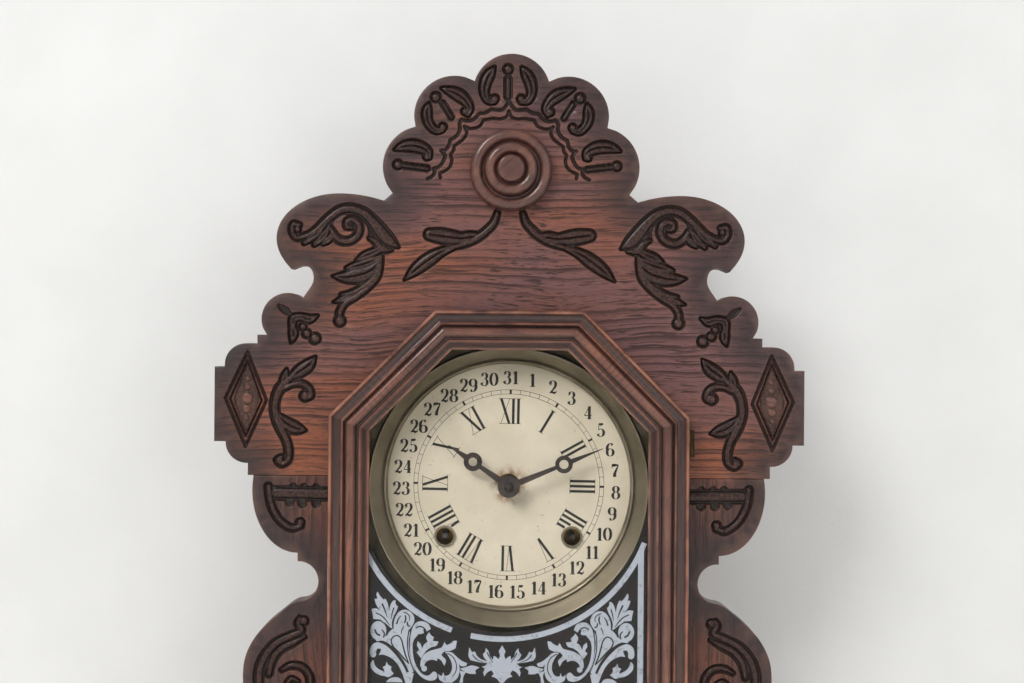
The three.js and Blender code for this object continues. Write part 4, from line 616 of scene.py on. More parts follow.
wingMarks = [
    straight("rib", (140.8, 293, 7.6), (110.5, 292.6, 7.6)),
    curve("rib", (145.4, 297, 4.2), (144.4, 288.8, 4.2), (141.7, 281.5, 4.2), (136.5, 274.9, 4.2),
          (130.4, 271.9, 4.2), (125.6, 273.2, 3.6)),
    dot("bead", 125.9, 275.3, 2.7),
    dot("hollow", 132.6, 287.6, 3.3),
    dot("hollow", 124.8, 287.1, 3.5),
    dot("hollow", 116.3, 287.2, 3.5),
    dot("hollow", 130.3, 297, 2.8),
    dot("hollow", 123.6, 297, 2.8),
    dot("hollow", 116.4, 296.8, 2.8),
    dot("bead", 123.3, 215.7, 3),
    curve("rib", (125.7, 217.5, 2.4), (126.9, 214.5, 3.6), (124.5, 210.3, 4.2), (131.1, 206.6, 4.8),
          (139.5, 202.3, 5.4), (145.5, 196.2, 5.4), (149.7, 187.1, 5.4), (150.2, 177.4, 5.4),
          (147, 168, 5.4), (140.6, 161.4, 5), (133, 159.4, 4.2), (127.4, 163, 3.6)),
    curve("rib", (122.6, 206, 1.8), (129.8, 202.4, 4.2), (137.7, 198.1, 4.8), (142.5, 191.4, 4.8),
          (144.2, 183.5, 3.6)),
    curve("rib", (136.4, 186, 2.4), (131.5, 188.6, 3.8), (124.6, 188, 4.2), (119.6, 182.6, 4.2),
          (119.4, 175.4, 4.2), (124.4, 170.4, 4), (130.6, 171.2, 3.8), (133.4, 176.4, 3.4),
          (130.4, 180.6, 3.2), (126.6, 179, 2.6)),
    dot("bead", 128.4, 164.8, 2.6),
    curve("leaf", (138, 158.6, 3.4), (133.4, 151.4, 6.6), (127, 146.4, 6), (119, 142.8, 0.8)),
    curve("leaf", (132, 156, 3), (124.6, 154.8, 5.6), (117, 155.6, 0.8)),
    curve("rib", (142, 118, 2.4), (137.6, 121.6, 4), (130.4, 121.4, 4.6), (124.4, 116.2, 4.8),
          (122.4, 107.6, 4.8), (125.8, 99.8, 4.2), (132.4, 97.8, 3.6)),
    dot("bead", 133, 100.6, 2.6),
    curve("leaf", (123.6, 118.6, 3), (118.4, 125, 5.4), (116.6, 133, 0.8)),
]

baseMarks = bothSides([
    curve("rib", (4, 30, 2.4), (10, 38, 4.4), (20, 44.6, 5), (32, 46, 5), (43, 41.4, 5), (52, 35, 5),
          (62, 32.6, 5), (70.6, 37.4, 4.6), (71.8, 45.4, 4), (65.6, 48.6, 3.2)),
    dot("bead", 64.8, 46, 2.8),
    curve("leaf", (26, 47, 3), (34, 54.6, 7.2), (45, 58.4, 7.4), (57, 58, 0.8)),
    curve("leaf", (40, 40, 3), (49, 30, 6.4), (60, 24, 6.2), (72, 22, 0.8)),
    curve("leaf", (6, 38, 3), (8.6, 50, 7.4), (15.4, 60, 6.4), (24, 66.4, 0.8)),
    dot("bead", 0, 29.4, 3),
    curve("rib", (86, 33, 2.6), (92, 39, 4.4), (96, 48, 4.8), (94, 58, 4.8), (86.6, 63.6, 4.2),
          (79.6, 60.6, 3.4)),
    dot("bead", 80.4, 57.8, 2.8),
    straight("groove", (104, 46, 2.2), (131, 58.5, 2.2), (158, 46, 2.2), (131, 33.5, 2.2),
             (104, 46, 2.2)),
    straight("groove", (109, 46, 1.6), (131, 56, 1.6), (153, 46, 1.6), (131, 36, 1.6), (109, 46, 1.6)),
    straight("field", (112, 46, 1), (131, 46, 15.5), (150, 46, 1)),
    dot("boss", 119.6, 46, 2),
    dot("boss", 124.4, 46, 2.2),
    dot("boss", 131, 46, 3.8),
    dot("boss", 137.6, 46, 2.2),
    dot("boss", 142.4, 46, 2),
    curve("groove", (100, 70, 2.4), (116, 75, 3.4), (131, 76.6, 4), (146, 75, 3.4), (160, 70, 2.4)),
])


def strokeDepth(spots, rows):
    # how far each spot lies inside a stroke, and where it is across it: 0 on the middle line, 1 at the edge
    starts, ends = rows[:-1], rows[1:]
    run = ends[:, :2] - starts[:, :2]
    offset = spots[:, None] - starts[None, :, :2]
    share = np.clip((offset * run).sum(2) / np.maximum((run ** 2).sum(1), 1e-9), 0, 1)
    near = starts[:, :2] + share[..., None] * run
    gap = np.linalg.norm(spots[:, None] - near, axis=2)
    half = np.maximum((starts[:, 2] + share * (ends[:, 2] - starts[:, 2])) / 2, 0.05)
    inside = half - gap
    best = inside.argmax(1)
    pick = np.arange(len(spots))
    return inside[pick, best], gap[pick, best], half[pick, best]


def pressedSurface(spots, marks):
    # height of the face at each spot, and how far the nearest stroke's edge is inside it
    recess, relief = np.zeros(len(spots)), np.zeros(len(spots))
    reach = np.full(len(spots), -9.0)
    for kind, rows in marks:
        look = pressing[kind]
        widest = rows[:, 2].max() / 2 + 1.5 + look["spread"]
        near = np.all((spots > rows[:, :2].min(0) - widest) & (spots < rows[:, :2].max(0) + widest), axis=1)
        if not near.any():
            continue
        inside, gap, half = strokeDepth(spots[near], rows)
        inside = inside + look["spread"]
        wall = np.clip(inside / look["wall"], 0, 1)
        wall = wall * wall * (3 - 2 * wall)
        across = gap / (half * look["fill"])
        form = look["crown"] * np.sqrt(np.clip(1 - across ** 2, 0, 1)) * np.minimum(1, half / 1.6)
        form *= 1 - look["vein"] * np.exp(-(gap / 0.55) ** 2) * np.clip(half / 2.2 - 0.4, 0, 1)
        recess[near] = np.maximum(recess[near], look["depth"] * wall)
        relief[near] = np.maximum(relief[near], form * wall)
        if kind == "field":
            stipple = np.sin(spots[near, 0] * 4.6) * np.sin(spots[near, 1] * 4.6 + spots[near, 0])
            relief[near] += 0.28 * stipple * wall
        reach[near] = np.maximum(reach[near], inside)
    return relief - recess, reach


def faceLoops(node):
    # outlines of a CAD board's front face, as arrays of x, z in millimetres
    mesh = nodes[node].data
    co = np.array([v.co for v in mesh.vertices]) / mm
    front = co[:, 1].min() + 0.01
    count, seen = {}, {}
    for face in mesh.polygons:
        ids = list(face.vertices)
        if max(co[k, 1] for k in ids) > front:
            continue
        keys = [(round(co[k, 0], 3), round(co[k, 2], 3)) for k in ids]
        for a, b in zip(keys, keys[1:] + keys[:1]):
            count[frozenset((a, b))] = count.get(frozenset((a, b)), 0) + 1
            seen[frozenset((a, b))] = (a, b)
    following = {seen[edge][0]: seen[edge][1] for edge, times in count.items() if times == 1}
    loops = []
    while following:
        start = next(iter(following))
        loop, spot = [start], following.pop(start)
        while spot != start:
            loop.append(spot)
            spot = following.pop(spot)
        loops.append(np.array(loop))
    return loops


def tidyLoop(loop):
    # leaves out doubled points, and the hair's breadth by which two scallops cross at their cusp
    loop = loop[np.linalg.norm(loop - np.roll(loop, 1, axis=0), axis=1) > 0.05]
    after = np.roll(loop, -1, axis=0) - loop
    before = loop - np.roll(loop, 1, axis=0)
    ahead, behind = np.linalg.norm(after, axis=1), np.linalg.norm(before, axis=1)
    turn = (after * before).sum(1) / (ahead * behind)
    return loop[(turn > -0.5) | (np.minimum(ahead, behind) > 0.6)]


def roundedLoop(loop, step):
    # runs between sharp corners become smooth curves; straight runs stay as they are
    after = np.roll(loop, -1, axis=0) - loop
    before = loop - np.roll(loop, 1, axis=0)
    lengths, last = np.linalg.norm(after, axis=1), np.linalg.norm(before, axis=1)
    sharp = (after * before).sum(1) / (lengths * last) < math.cos(math.radians(38))
    uneven = np.maximum(lengths, last) > 7 * np.minimum(lengths, last)
    corners = np.flatnonzero(sharp | uneven)
    loop = np.roll(loop, -corners[0], axis=0)
    corners = np.append(corners - corners[0], len(loop))
    closed = np.vstack([loop, loop[:1]])
    rows = []
    for start, end in zip(corners, corners[1:]):
        rows.extend(smoothPath(closed[start:end + 1], step)[:-1])
    return np.array(rows)


def loopDistance(spots, loop, chunk=4000):
    ends = np.roll(loop, -1, axis=0)
    run = ends - loop
    lengths = np.maximum((run ** 2).sum(1), 1e-9)
    found = []
    for start in range(0, len(spots), chunk):
        some = spots[start:start + chunk]
        share = np.clip(((some[:, None] - loop) * run).sum(2) / lengths, 0, 1)
        found.append(np.linalg.norm(some[:, None] - loop - share[..., None] * run, axis=2).min(1))
    return np.concatenate(found) if found else np.zeros(0)


def insideLoop(spots, loop):
    ends = np.roll(loop, -1, axis=0)
    inside = np.zeros(len(spots), bool)
    for a, b in zip(loop, ends):
        if a[1] == b[1]:
            continue
        crosses = (a[1] > spots[:, 1]) != (b[1] > spots[:, 1])
        inside ^= crosses & (spots[:, 0] < (b[0] - a[0]) * (spots[:, 1] - a[1]) / (b[1] - a[1]) + a[0])
    return inside


def hexGrid(low, high, step):
    xs = np.arange(low[0], high[0], step)
    zs = np.arange(low[1], high[1], step * math.sqrt(3) / 2)
    grid = np.stack(np.meshgrid(xs, zs), 2)
    grid[1::2, :, 0] += step / 2
    return grid.reshape(-1, 2)


def rimDistance(spots, loop, chunk=4000):
    # distance to the board's free edge, not to its joints or to the opening behind the door
    middle = (loop + np.roll(loop, -1, axis=0)) / 2
    joined = (np.abs(middle[:, 1] - boardJoint) < 0.7) | (np.abs(middle[:, 1] - baseTop) < 0.7)
    hidden = (np.abs(middle[:, 0]) < doorHalfWidth) & (middle[:, 1] < doorTop)
    free = loop[~(joined | hidden)]
    found = np.full(len(spots), 99.0)
    for start in range(0, len(spots), chunk):
        some = spots[start:start + chunk]
        found[start:start + chunk] = np.linalg.norm(some[:, None] - free, axis=2).min(1)
    return found


# ends of the solid's slanted notch over each diamond, and the square step that takes its place
squareStep = {"outer": (153.5, 383.5), "inner": (146.8, 388.2), "near": 0.6,
              "wide": 152.8, "narrow": 147, "low": 383.5, "high": 388.8}


def squareSteps(loop):
    # over each diamond the solid's slanted notch is cut as the square step that the real board has
    step, rows = squareStep, []
    (outerX, outerZ), (innerX, innerZ) = step["outer"], step["inner"]
    for x, z in loop:
        side = math.copysign(1, x)
        if math.hypot(abs(x) - outerX, z - outerZ) < step["near"]:
            corners = [(side * step["wide"], step["low"]), (side * step["wide"], step["high"])]
            rows += corners if side > 0 else corners[::-1]
        elif math.hypot(abs(x) - innerX, z - innerZ) < step["near"]:
            rows.append((side * step["narrow"], step["high"]))
        else:
            rows.append((x, z))
    return np.array(rows)


def pressedBoard(name, node, marks, material):
    look = boardLook
    loop = tidyLoop(roundedLoop(tidyLoop(squareSteps(faceLoops(node)[0])), look["outlineStep"]))
    if ((np.roll(loop[:, 0], -1) - loop[:, 0]) * (np.roll(loop[:, 1], -1) + loop[:, 1])).sum() > 0:
        loop = loop[::-1]
    low, high = loop.min(0), loop.max(0)
    fine = hexGrid(low, high, look["fine"])
    fine = fine[pressedSurface(fine, marks)[1] > -look["fineReach"]]
    fine = fine[loopDistance(fine, loop) > look["ease"] + look["fineGap"]]
    coarse = hexGrid(low, high, look["coarse"])
    coarse = coarse[insideLoop(coarse, loop)]
    coarse = coarse[loopDistance(coarse, loop) > look["coarseGap"]]
    coarse = coarse[pressedSurface(coarse, marks)[1] < -look["coarseReach"]]
    ahead, behind = np.roll(loop, -1, axis=0), np.roll(loop, 1, axis=0)
    run = ahead - behind
    inward = np.stack([-run[:, 1], run[:, 0]], 1) / np.linalg.norm(run, axis=1)[:, None]
    rings = []
    for share in (0.3, 1.0):
        ring = loop + inward * look["ease"] * share
        rings.append(ring[loopDistance(ring, loop) > look["ease"] * share * 0.93])
    spots = np.vstack([loop, *rings, fine, coarse])
    edges = [(k, (k + 1) % len(loop)) for k in range(len(loop))]
    flat, _, faces, _, _, _ = delaunay_2d_cdt([Vector(s) for s in spots], edges, [], 1, 1e-5)
    flat = np.array([tuple(v) for v in flat])
    height, reach = pressedSurface(flat, marks)
    fromEdge = loopDistance(flat, loop)
    lean = np.clip(1 - fromEdge / look["ease"], 0, 1)
    drop = look["ease"] * (1 - np.sqrt(1 - lean ** 2))
    front = np.column_stack([flat[:, 0], boardFace - height + drop, flat[:, 1]])
    toneAndShadeMask = np.clip(1 - rimDistance(flat, loop) / look["rimReach"], 0, 1) ** look["rimFalloff"]
    # depth of the pressing, which the material paints as shade
    pressed = np.clip(-height / 1.7, 0, 1)
    worn = np.exp(-(fromEdge / 0.7) ** 2) * look["edgeWear"]
    # a pale band where each stroke meets the face: partly wear, partly a painted highlight along the rims
    worn = worn + np.exp(-(reach / 0.4) ** 2) * look["strokeWearAndHighlight"]
    for kind, rows in marks:
        if kind == "field":
            nearField = np.all((flat > rows[:, :2].min(0) - 6) & (flat < rows[:, :2].max(0) + 6), axis=1)
            inside = strokeDepth(flat[nearField], rows)[0]
            worn[nearField] = np.maximum(worn[nearField], np.clip(inside, 0, 1) * look["strokeWearAndHighlight"])
    count = len(loop)
    back = np.column_stack([loop[:, 0], np.full(count, boardBack), loop[:, 1]])
    total = len(front)
    triangles = [tuple(f) for f in faces]
    walls = [(k, (k + 1) % count, total + (k + 1) % count, total + k) for k in range(count)]
    _, _, backFaces, _, _, _ = delaunay_2d_cdt([Vector(s) for s in loop], edges, [], 1, 1e-5)
    backs = [tuple(total + k for k in f) for f in backFaces]
    mesh = meshFrom(name, np.vstack([front, back]), triangles + walls + backs, {
        "toneAndShadeMask": np.append(toneAndShadeMask, np.ones(count)), "pressed": np.append(pressed, np.zeros(count)),
        "worn": np.append(worn, np.zeros(count))})
    finishPiece(name, mesh, material, "case", [node], smooth=50)
    print(name, len(triangles) + 2 * count, "triangles")


pressedBoard("headboard_pressed", "headboard", headMarks, oakAcross)
pressedBoard("wing_right_pressed", "wing_right", wingMarks, oakUpright)
mirroredWing = [(kind, rows * np.array([-1, 1, 1])) for kind, rows in wingMarks]
pressedBoard("wing_left_pressed", "wing_left", mirroredWing, oakUpright)
pressedBoard("base_board_pressed", "base_board", baseMarks, oakAcross)


# ---- turned rosette ----
def arc(x, z, radius, start, end, steps, wear=0.0, crest=90):
    # rows of a profile on an arc; wear is greatest where the arc faces crest degrees
    rows = []
    for k in range(steps + 1):
        degrees = start + (end - start) * k / steps
        turn = math.radians(degrees)
        rub = wear * max(0.0, math.cos(math.radians(degrees - crest))) ** 3
        rows.append((x + radius * math.cos(turn), z + radius * math.sin(turn), rub))
    return rows


rosetteBox = nodeBox("rosette")
rosetteLook = {"height": (rosetteBox[0].z + rosetteBox[1].z) / 2, "sides": 160, "wear": 0.5}
rosetteProfile = [
    (0, 0, 0), (24.4, 0, 0), *arc(24.2, 1.4, 0.8, -90, 40, 5, 0.3, 0), (24.4, 2.6, 0), (24.2, 4.2, 0.0),
    *arc(21, 4.6, 3.4, 0, 165, 12, 0.9), (17.5, 4.4, 0), (16.6, 4.6, 0), (15.9, 6.4, 0.3), (15.7, 7.6, 0.2),
    *arc(12.6, 8, 3.1, 10, 170, 12, 1.0), (9.3, 7.4, 0), (8.7, 7.6, 0), (8.3, 10.4, 0.2),
    *arc(6.6, 11, 1.4, 20, 90, 5, 0.5), (4, 12.2, 0.1), (0, 12.1, 0.1),
]
rosettePoints, rosetteFaces, rosetteWear = turnedShape(
    rosetteProfile, rosetteLook["sides"], (0, rosetteBox[1].y, rosetteLook["height"]))
rosetteMesh = meshFrom("rosette_turned", rosettePoints, rosetteFaces, {
    "worn": [rosetteLook["wear"] * rub for rub in rosetteWear]})
finishPiece("rosette_turned", rosetteMesh, rosetteOak, "case", ["rosette"], smooth=40)

# ---- door mouldings ----
# across the rail from its outer edge, height above the door's back, and wear
doorProfile = [
    (0, 0, 0), (0, 13.2, 0.3), (0.35, 14, 0.9), (1, 14.6, 1), (1.8, 14.5, 0.7), (2.4, 13.6, 0.1),
    (3.4, 12.6, 0), (4.6, 12.05, 0), (5.9, 12, 0), (6.9, 12.4, 0), (7.4, 13.1, 0.5), (8.1, 13.5, 0.8),
    (8.6, 13.1, 0.4), (8.8, 11.4, 0), (9.6, 11.1, 0), (9.9, 12.2, 0),
    *arc(12.9, 11.6, 3.15, 165, 15, 10, 0.35),
    (16.1, 11.3, 0), (16.5, 10.3, 0), (17.2, 10.1, 0), (17.7, 10.7, 0.4), (18.3, 10.7, 0.5),
    (19.2, 10.1, 0.1),
    (20.2, 9, 0), (21.1, 7.9, 0), (22, 6.9, 0), (22.6, 6.7, 0.4), (23.2, 6.6, 0.9), (23.5, 6.1, 0.8),
    (23.5, 4.5, 0), (17.5, 4.5, 0), (17.5, 0, 0),
]
octagonShare = math.tan(math.pi / 8)
mitreHalfGap = 0.05
doorWear = 0.75


def doorCorner(which, inset):
    apothem = doorHalfWidth - inset
    reach = apothem * octagonShare
    corners = [
        (-apothem, doorFoot + inset), (apothem, doorFoot + inset), (apothem, dialHeight + reach),
        (reach, dialHeight + apothem), (-reach, dialHeight + apothem), (-apothem, dialHeight + reach),
    ]
    return np.array(corners[which % 6])


def doorRail(name, which, material, steps=24):
    profile = doorProfile
    count = len(profile)
    points, wear, valleyShadeAndJoints = [], [], []
    for inset, height, rub in profile:
        start, end = doorCorner(which, inset), doorCorner(which + 1, inset)
        run = (end - start) / np.linalg.norm(end - start)
        start, end = start + run * mitreHalfGap, end - run * mitreHalfGap
        for k in range(steps + 1):
            spot = start + (end - start) * k / steps
            points.append((spot[0], doorBack - height, spot[1]))
            wear.append(rub)
            # darker at the mitres, where the joints are, and painted shade on the profile's unworn valleys
            # and faces
            valleyShadeAndJoints.append(max(0.4 * max(0.0, 1 - min(k, steps - k) / 1.5), 0.7 * max(0.0, 1 - rub / 0.3)))
    faces = []
    for j in range(count):
        a, b = j * (steps + 1), ((j + 1) % count) * (steps + 1)
        faces.extend((a + k, a + k + 1, b + k + 1, b + k) for k in range(steps))
    faces.append(tuple(j * (steps + 1) for j in range(count)))
    faces.append(tuple(j * (steps + 1) + steps for j in reversed(range(count))))
    mesh = meshFrom(name, points, faces, {"worn": [doorWear * rub for rub in wear], "toneAndShadeMask": valleyShadeAndJoints})
    finishPiece(name, mesh, material, "door", [name.replace("_moulding", "")], smooth=32)


doorRails = [
    ("door_rail_bottom", doorOakAcross), ("door_stile_right", doorOakUpright),
    ("door_rail_upper_right", doorOakRising), ("door_rail_top", doorOakAcross),
    ("door_rail_upper_left", doorOakFalling), ("door_stile_left", doorOakUpright),
]
for which, (rail, material) in enumerate(doorRails):
    doorRail(rail + "_moulding", which, material)
print("door mouldings made")

# ---- bezel, spun from sheet brass ----
bezelBox = nodeBox("bezel")
bezelSeat = bezelBox[1].y
bezelProfile = [
    (75, 0.4, 0), (75, 1.6, 0), *arc(76.4, 2.2, 1.25, 180, 20, 8), (78.2, 2.9, 0), (83.2, 8.7, 0),
    *arc(84.6, 8.5, 1.0, 150, 10, 6), (85.9, 5.4, 0), (86.4, 1.6, 0), *arc(88.6, 0.6, 0.6, 170, 90, 3),
    (91.2, 1.15, 0), (91.9, 0.8, 0), (92, 0, 0), (85.6, 0, 0), (84.9, 7.4, 0), (78, 0.6, 0),
]
bezelDepth = bezelSeat - bezelBox[0].y
bezelLook = {"sides": 180, "drawnHeight": 9.5, "footGap": 0.2, "mouth": 75, "footWidth": 77.2}


def bezelPiece():
    # heights above are scaled to the CAD ring; its inner foot reaches back to the paper
    look = bezelLook
    foot = paperFace - look["footGap"]
    rows = [(radius, bezelSeat - height * bezelDepth / look["drawnHeight"]) for radius, height,
            _ in bezelProfile]
    rows[0] = (look["mouth"], foot)
    rows[-1] = (look["footWidth"], foot)
    points, faces = [], []
    sides = look["sides"]
    for radius, depth in rows:
        for k in range(sides):
            angle = 2 * math.pi * k / sides
            points.append((radius * math.cos(angle), depth, dialHeight + radius * math.sin(angle)))
    count = len(rows)
    for j in range(count):
        a, b = j * sides, ((j + 1) % count) * sides
        faces.extend((a + k, a + (k + 1) % sides, b + (k + 1) % sides, b + k) for k in range(sides))
    mesh = meshFrom("bezel_spun", points, faces)
    finishPiece("bezel_spun", mesh, bezelBrass, "case", ["bezel"], smooth=40)


bezelPiece()

# ---- dial print ----
inkFront = paperFace - 0.05
inkBack = paperFace - 0.005
dialTurn = math.radians(0.75)     # the paper sits slightly turned, clockwise
dialLook = {
    "romanInner": 37.9, "romanOuter": 53.4, "thick": 1.6, "thin": 0.3, "serif": 0.3, "serifReach": 0.9,
    "track": 57.6, "trackHalf": 1.3, "trackLine": 0.26, "boldLine": 1.3,
    "numberRadius": 66.5, "numberHeight": 8.2, "digitWidth": 5.6, "digitThick": 1.75, "digitThin": 0.36,
    "contrast": 2.2, "ballShare": 0.8,
}


def onDial(u, v, angle):
    # u clockwise and v outwards from the point at that clock angle, in millimetres from the dial's centre
    turn = angle + dialTurn
    return (v * math.sin(turn) + u * math.cos(turn), dialHeight + v * math.cos(turn) - u * math.sin(turn))


grommetLow, grommetHigh = nodeBox("grommet_right")
holeX, holeZ = (grommetLow.x + grommetHigh.x) / 2, (grommetLow.z + grommetHigh.z) / 2
holeRim = (grommetHigh.x - grommetLow.x) / 2 + 0.1


def printedBar(angle, ends, width, steps=48):
    # a bar between two (u, v) ends, with the lengths left out that a grommet covers
    (u0, v0), (u1, v1) = ends
    across = math.hypot(u1 - u0, v1 - v0)
    side = ((v1 - v0) / across * width / 2, -(u1 - u0) / across * width / 2)
    runs, run = [], []
    for k in range(steps + 1):
        u, v = u0 + (u1 - u0) * k / steps, v0 + (v1 - v0) * k / steps
        edges = [onDial(u + side[0], v + side[1], angle), onDial(u - side[0], v - side[1], angle)]
        if all(clearOfHoles(x, z) for x, z in edges):
            run.append(edges)
        elif run:
            runs.append(run)
            run = []
    runs.append(run)
    parts = []
    for run in runs:
        if len(run) > 1:
            outline = [run[0][0], run[-1][0], run[-1][1], run[0][1]]
            parts.append(prism(outline, inkFront, inkBack))
    return parts


def romanBars(text):
    # bars of a numeral as (bottom u, top u, width); I is upright, V and X lean, one bar thick and one thin
    thick, thin = dialLook["thick"], dialLook["thin"]
    advance = {"I": 3.15, "V": 5.6, "X": 6.9}
    half = {"I": 0.0, "V": 1.9, "X": 2.6}
    total = sum(advance[c] for c in text)
    place, bars = -total / 2, []
    for c in text:
        middle = place + advance[c] / 2
        if c == "I":
            bars.append((middle, middle, thick))
        elif c == "V":
            bars.append((middle + 0.1, middle - half[c], thick))
            bars.append((middle + 0.5, middle + half[c], thin))
        else:
            bars.append((middle + half[c], middle - half[c], thick))
            bars.append((middle - half[c], middle + half[c], thin))
        place += advance[c]
    return bars


def romanNumeral(text, hour):
    look = dialLook
    angle = math.radians(30 * hour)
    low, high = look["romanInner"], look["romanOuter"]
    parts = []
    for bottom, top, width in romanBars(text):
        parts += printedBar(angle, [(bottom, low), (top, high)], width)
    for level, row in ((low, 0), (high, 1)):
        touched = sorted((bar[row], bar[2]) for bar in romanBars(text))
        left = touched[0][0] - touched[0][1] / 2 - look["serifReach"]
        right = touched[-1][0] + touched[-1][1] / 2 + look["serifReach"]
        if "V" in text and row == 0 and len(text) == 1:
            continue
        parts += printedBar(angle, [(left, level), (right, level)], look["serif"])
    return parts


def clearOfHoles(x, z):
    # the grommets of the winding holes cover the print
    return all(math.hypot(x - side * holeX, z - holeZ) > holeRim for side in (-1, 1))


romans = ["I", "II", "III", "IIII", "V", "VI", "VII", "VIII", "IX", "X", "XI", "XII"]
romanParts = [part for hour, text in enumerate(romans, 1) for part in romanNumeral(text, hour)]
finishPiece("dial_roman_print", meshFrom("dial_roman_print", *gather(romanParts)), ink, "case")


def loopRows(x, z, rx, rz, start, end, steps=18):
    return [(x + rx * math.cos(math.radians(start + (end - start) * k / steps)),
             z + rz * math.sin(math.radians(start + (end - start) * k / steps))) for k in range(steps + 1)]


# Strokes of a high-contrast figure in a box 0 to 1 wide and 0 to 1 high. Upright runs come out thick and
# level runs thin; a third value is a fixed width, such as a ball at a stroke's end.
digitStrokes = {
    "0": [loopRows(0.5, 0.5, 0.36, 0.47, 90, 450, 28)],
    "1": [[(0.52, 0.04), (0.52, 0.97)], [(0.22, 0.8, 0.3), (0.36, 0.86, 0.4), (0.5, 0.96, 0.5)],
          [(0.24, 0.02, 0.3), (0.8, 0.02, 0.3)]],
    "2": [[(0.2, 0.72, 1.3), (0.24, 0.66, 1.3)],
          [(0.17, 0.74, 0.5), *loopRows(0.47, 0.72, 0.31, 0.26, 170, -10, 12), (0.7, 0.5), (0.42, 0.25, 0.7),
           (0.16, 0.08, 0.4), (0.14, 0.04, 0.3)],
          [(0.14, 0.07, 0.7), (0.36, 0.13, 0.9), (0.62, 0.05, 1.1), (0.8, 0.1, 0.6), (0.86, 0.24, 0.3)]],
    "3": [[(0.2, 0.78, 1.2), (0.24, 0.73, 1.2)], [(0.18, 0.8, 0.4),
                                                  *loopRows(0.46, 0.75, 0.27, 0.22, 165, -80, 12)],
          [*loopRows(0.44, 0.27, 0.33, 0.27, 88, -165, 14)], [(0.18, 0.24, 1.2), (0.2, 0.18, 1.2)]],
    "4": [[(0.64, 0.02), (0.64, 0.97)], [(0.62, 0.96, 0.3), (0.1, 0.28, 0.3)],
          [(0.08, 0.27, 0.35), (0.92, 0.27, 0.35)],
          [(0.42, 0.02, 0.3), (0.86, 0.02, 0.3)]],
    "5": [[(0.26, 0.95, 0.35), (0.22, 0.5, 0.3)], [(0.26, 0.95, 0.9), (0.5, 0.91, 1.2), (0.74, 0.96, 0.7)],
          [(0.22, 0.5, 0.3), *loopRows(0.46, 0.29, 0.34, 0.29, 115, -160, 14)],
          [(0.18, 0.2, 1.2), (0.2, 0.15, 1.2)]],
    "6": [loopRows(0.5, 0.29, 0.34, 0.28, 90, 450, 24),
          [(0.74, 0.82, 1.1), (0.7, 0.86, 0.9), *loopRows(0.56, 0.58, 0.4, 0.39, 75, 200, 10)]],
    "7": [[(0.14, 0.9, 1.1), (0.4, 0.92, 1.3), (0.86, 0.93, 0.5)], [(0.14, 0.98, 0.3), (0.14, 0.7, 0.3)],
          [(0.85, 0.92, 0.4), (0.6, 0.55, 0.9), (0.45, 0.26, 1.3), (0.44, 0.04, 1.5)]],
    "8": [loopRows(0.5, 0.75, 0.28, 0.22, 90, 450, 22), loopRows(0.5, 0.27, 0.34, 0.26, 90, 450, 24)],
    "9": [loopRows(0.5, 0.7, 0.34, 0.28, 90, 450, 24),
          [(0.26, 0.17, 1.1), (0.3, 0.13, 0.9), *loopRows(0.44, 0.41, 0.4, 0.39, -105, 20, 10)]],
}


def digitParts(text, x, z):
    # x, z is the middle of the number
    look = dialLook
    width, height = look["digitWidth"], look["numberHeight"]
    advance = {"1": 0.76}
    total = sum(advance.get(c, 1.0) for c in text) * width
    left, parts = x - total / 2, []
    for c in text:
        shift = left - (1 - advance.get(c, 1.0)) * width / 2
        for stroke in digitStrokes[c]:
            spots = np.array([(shift + s[0] * width, z + (s[1] - 0.5) * height) for s in stroke])
            run = np.gradient(spots, axis=0)
            upright = np.abs(run[:, 1]) / (np.linalg.norm(run, axis=1) + 1e-9)
            share = upright ** look["contrast"]
            widths = look["digitThin"] + (look["digitThick"] - look["digitThin"]) * share
            fixed = [s[2] * look["digitThick"] * look["ballShare"] if len(s) > 2 else w
                     for s, w in zip(stroke, widths)]
            parts.append(ribbon(np.column_stack([spots, fixed]), inkFront, inkBack))
        left += advance.get(c, 1.0) * width
    return parts


numberParts = []
for day in range(1, 32):
    angle = 2 * math.pi * (day % 31) / 31
    x, z = onDial(0, dialLook["numberRadius"], angle)
    numberParts += digitParts(str(day), x, z)
finishPiece("dial_calendar_print", meshFrom("dial_calendar_print", *gather(numberParts)), ink, "case")


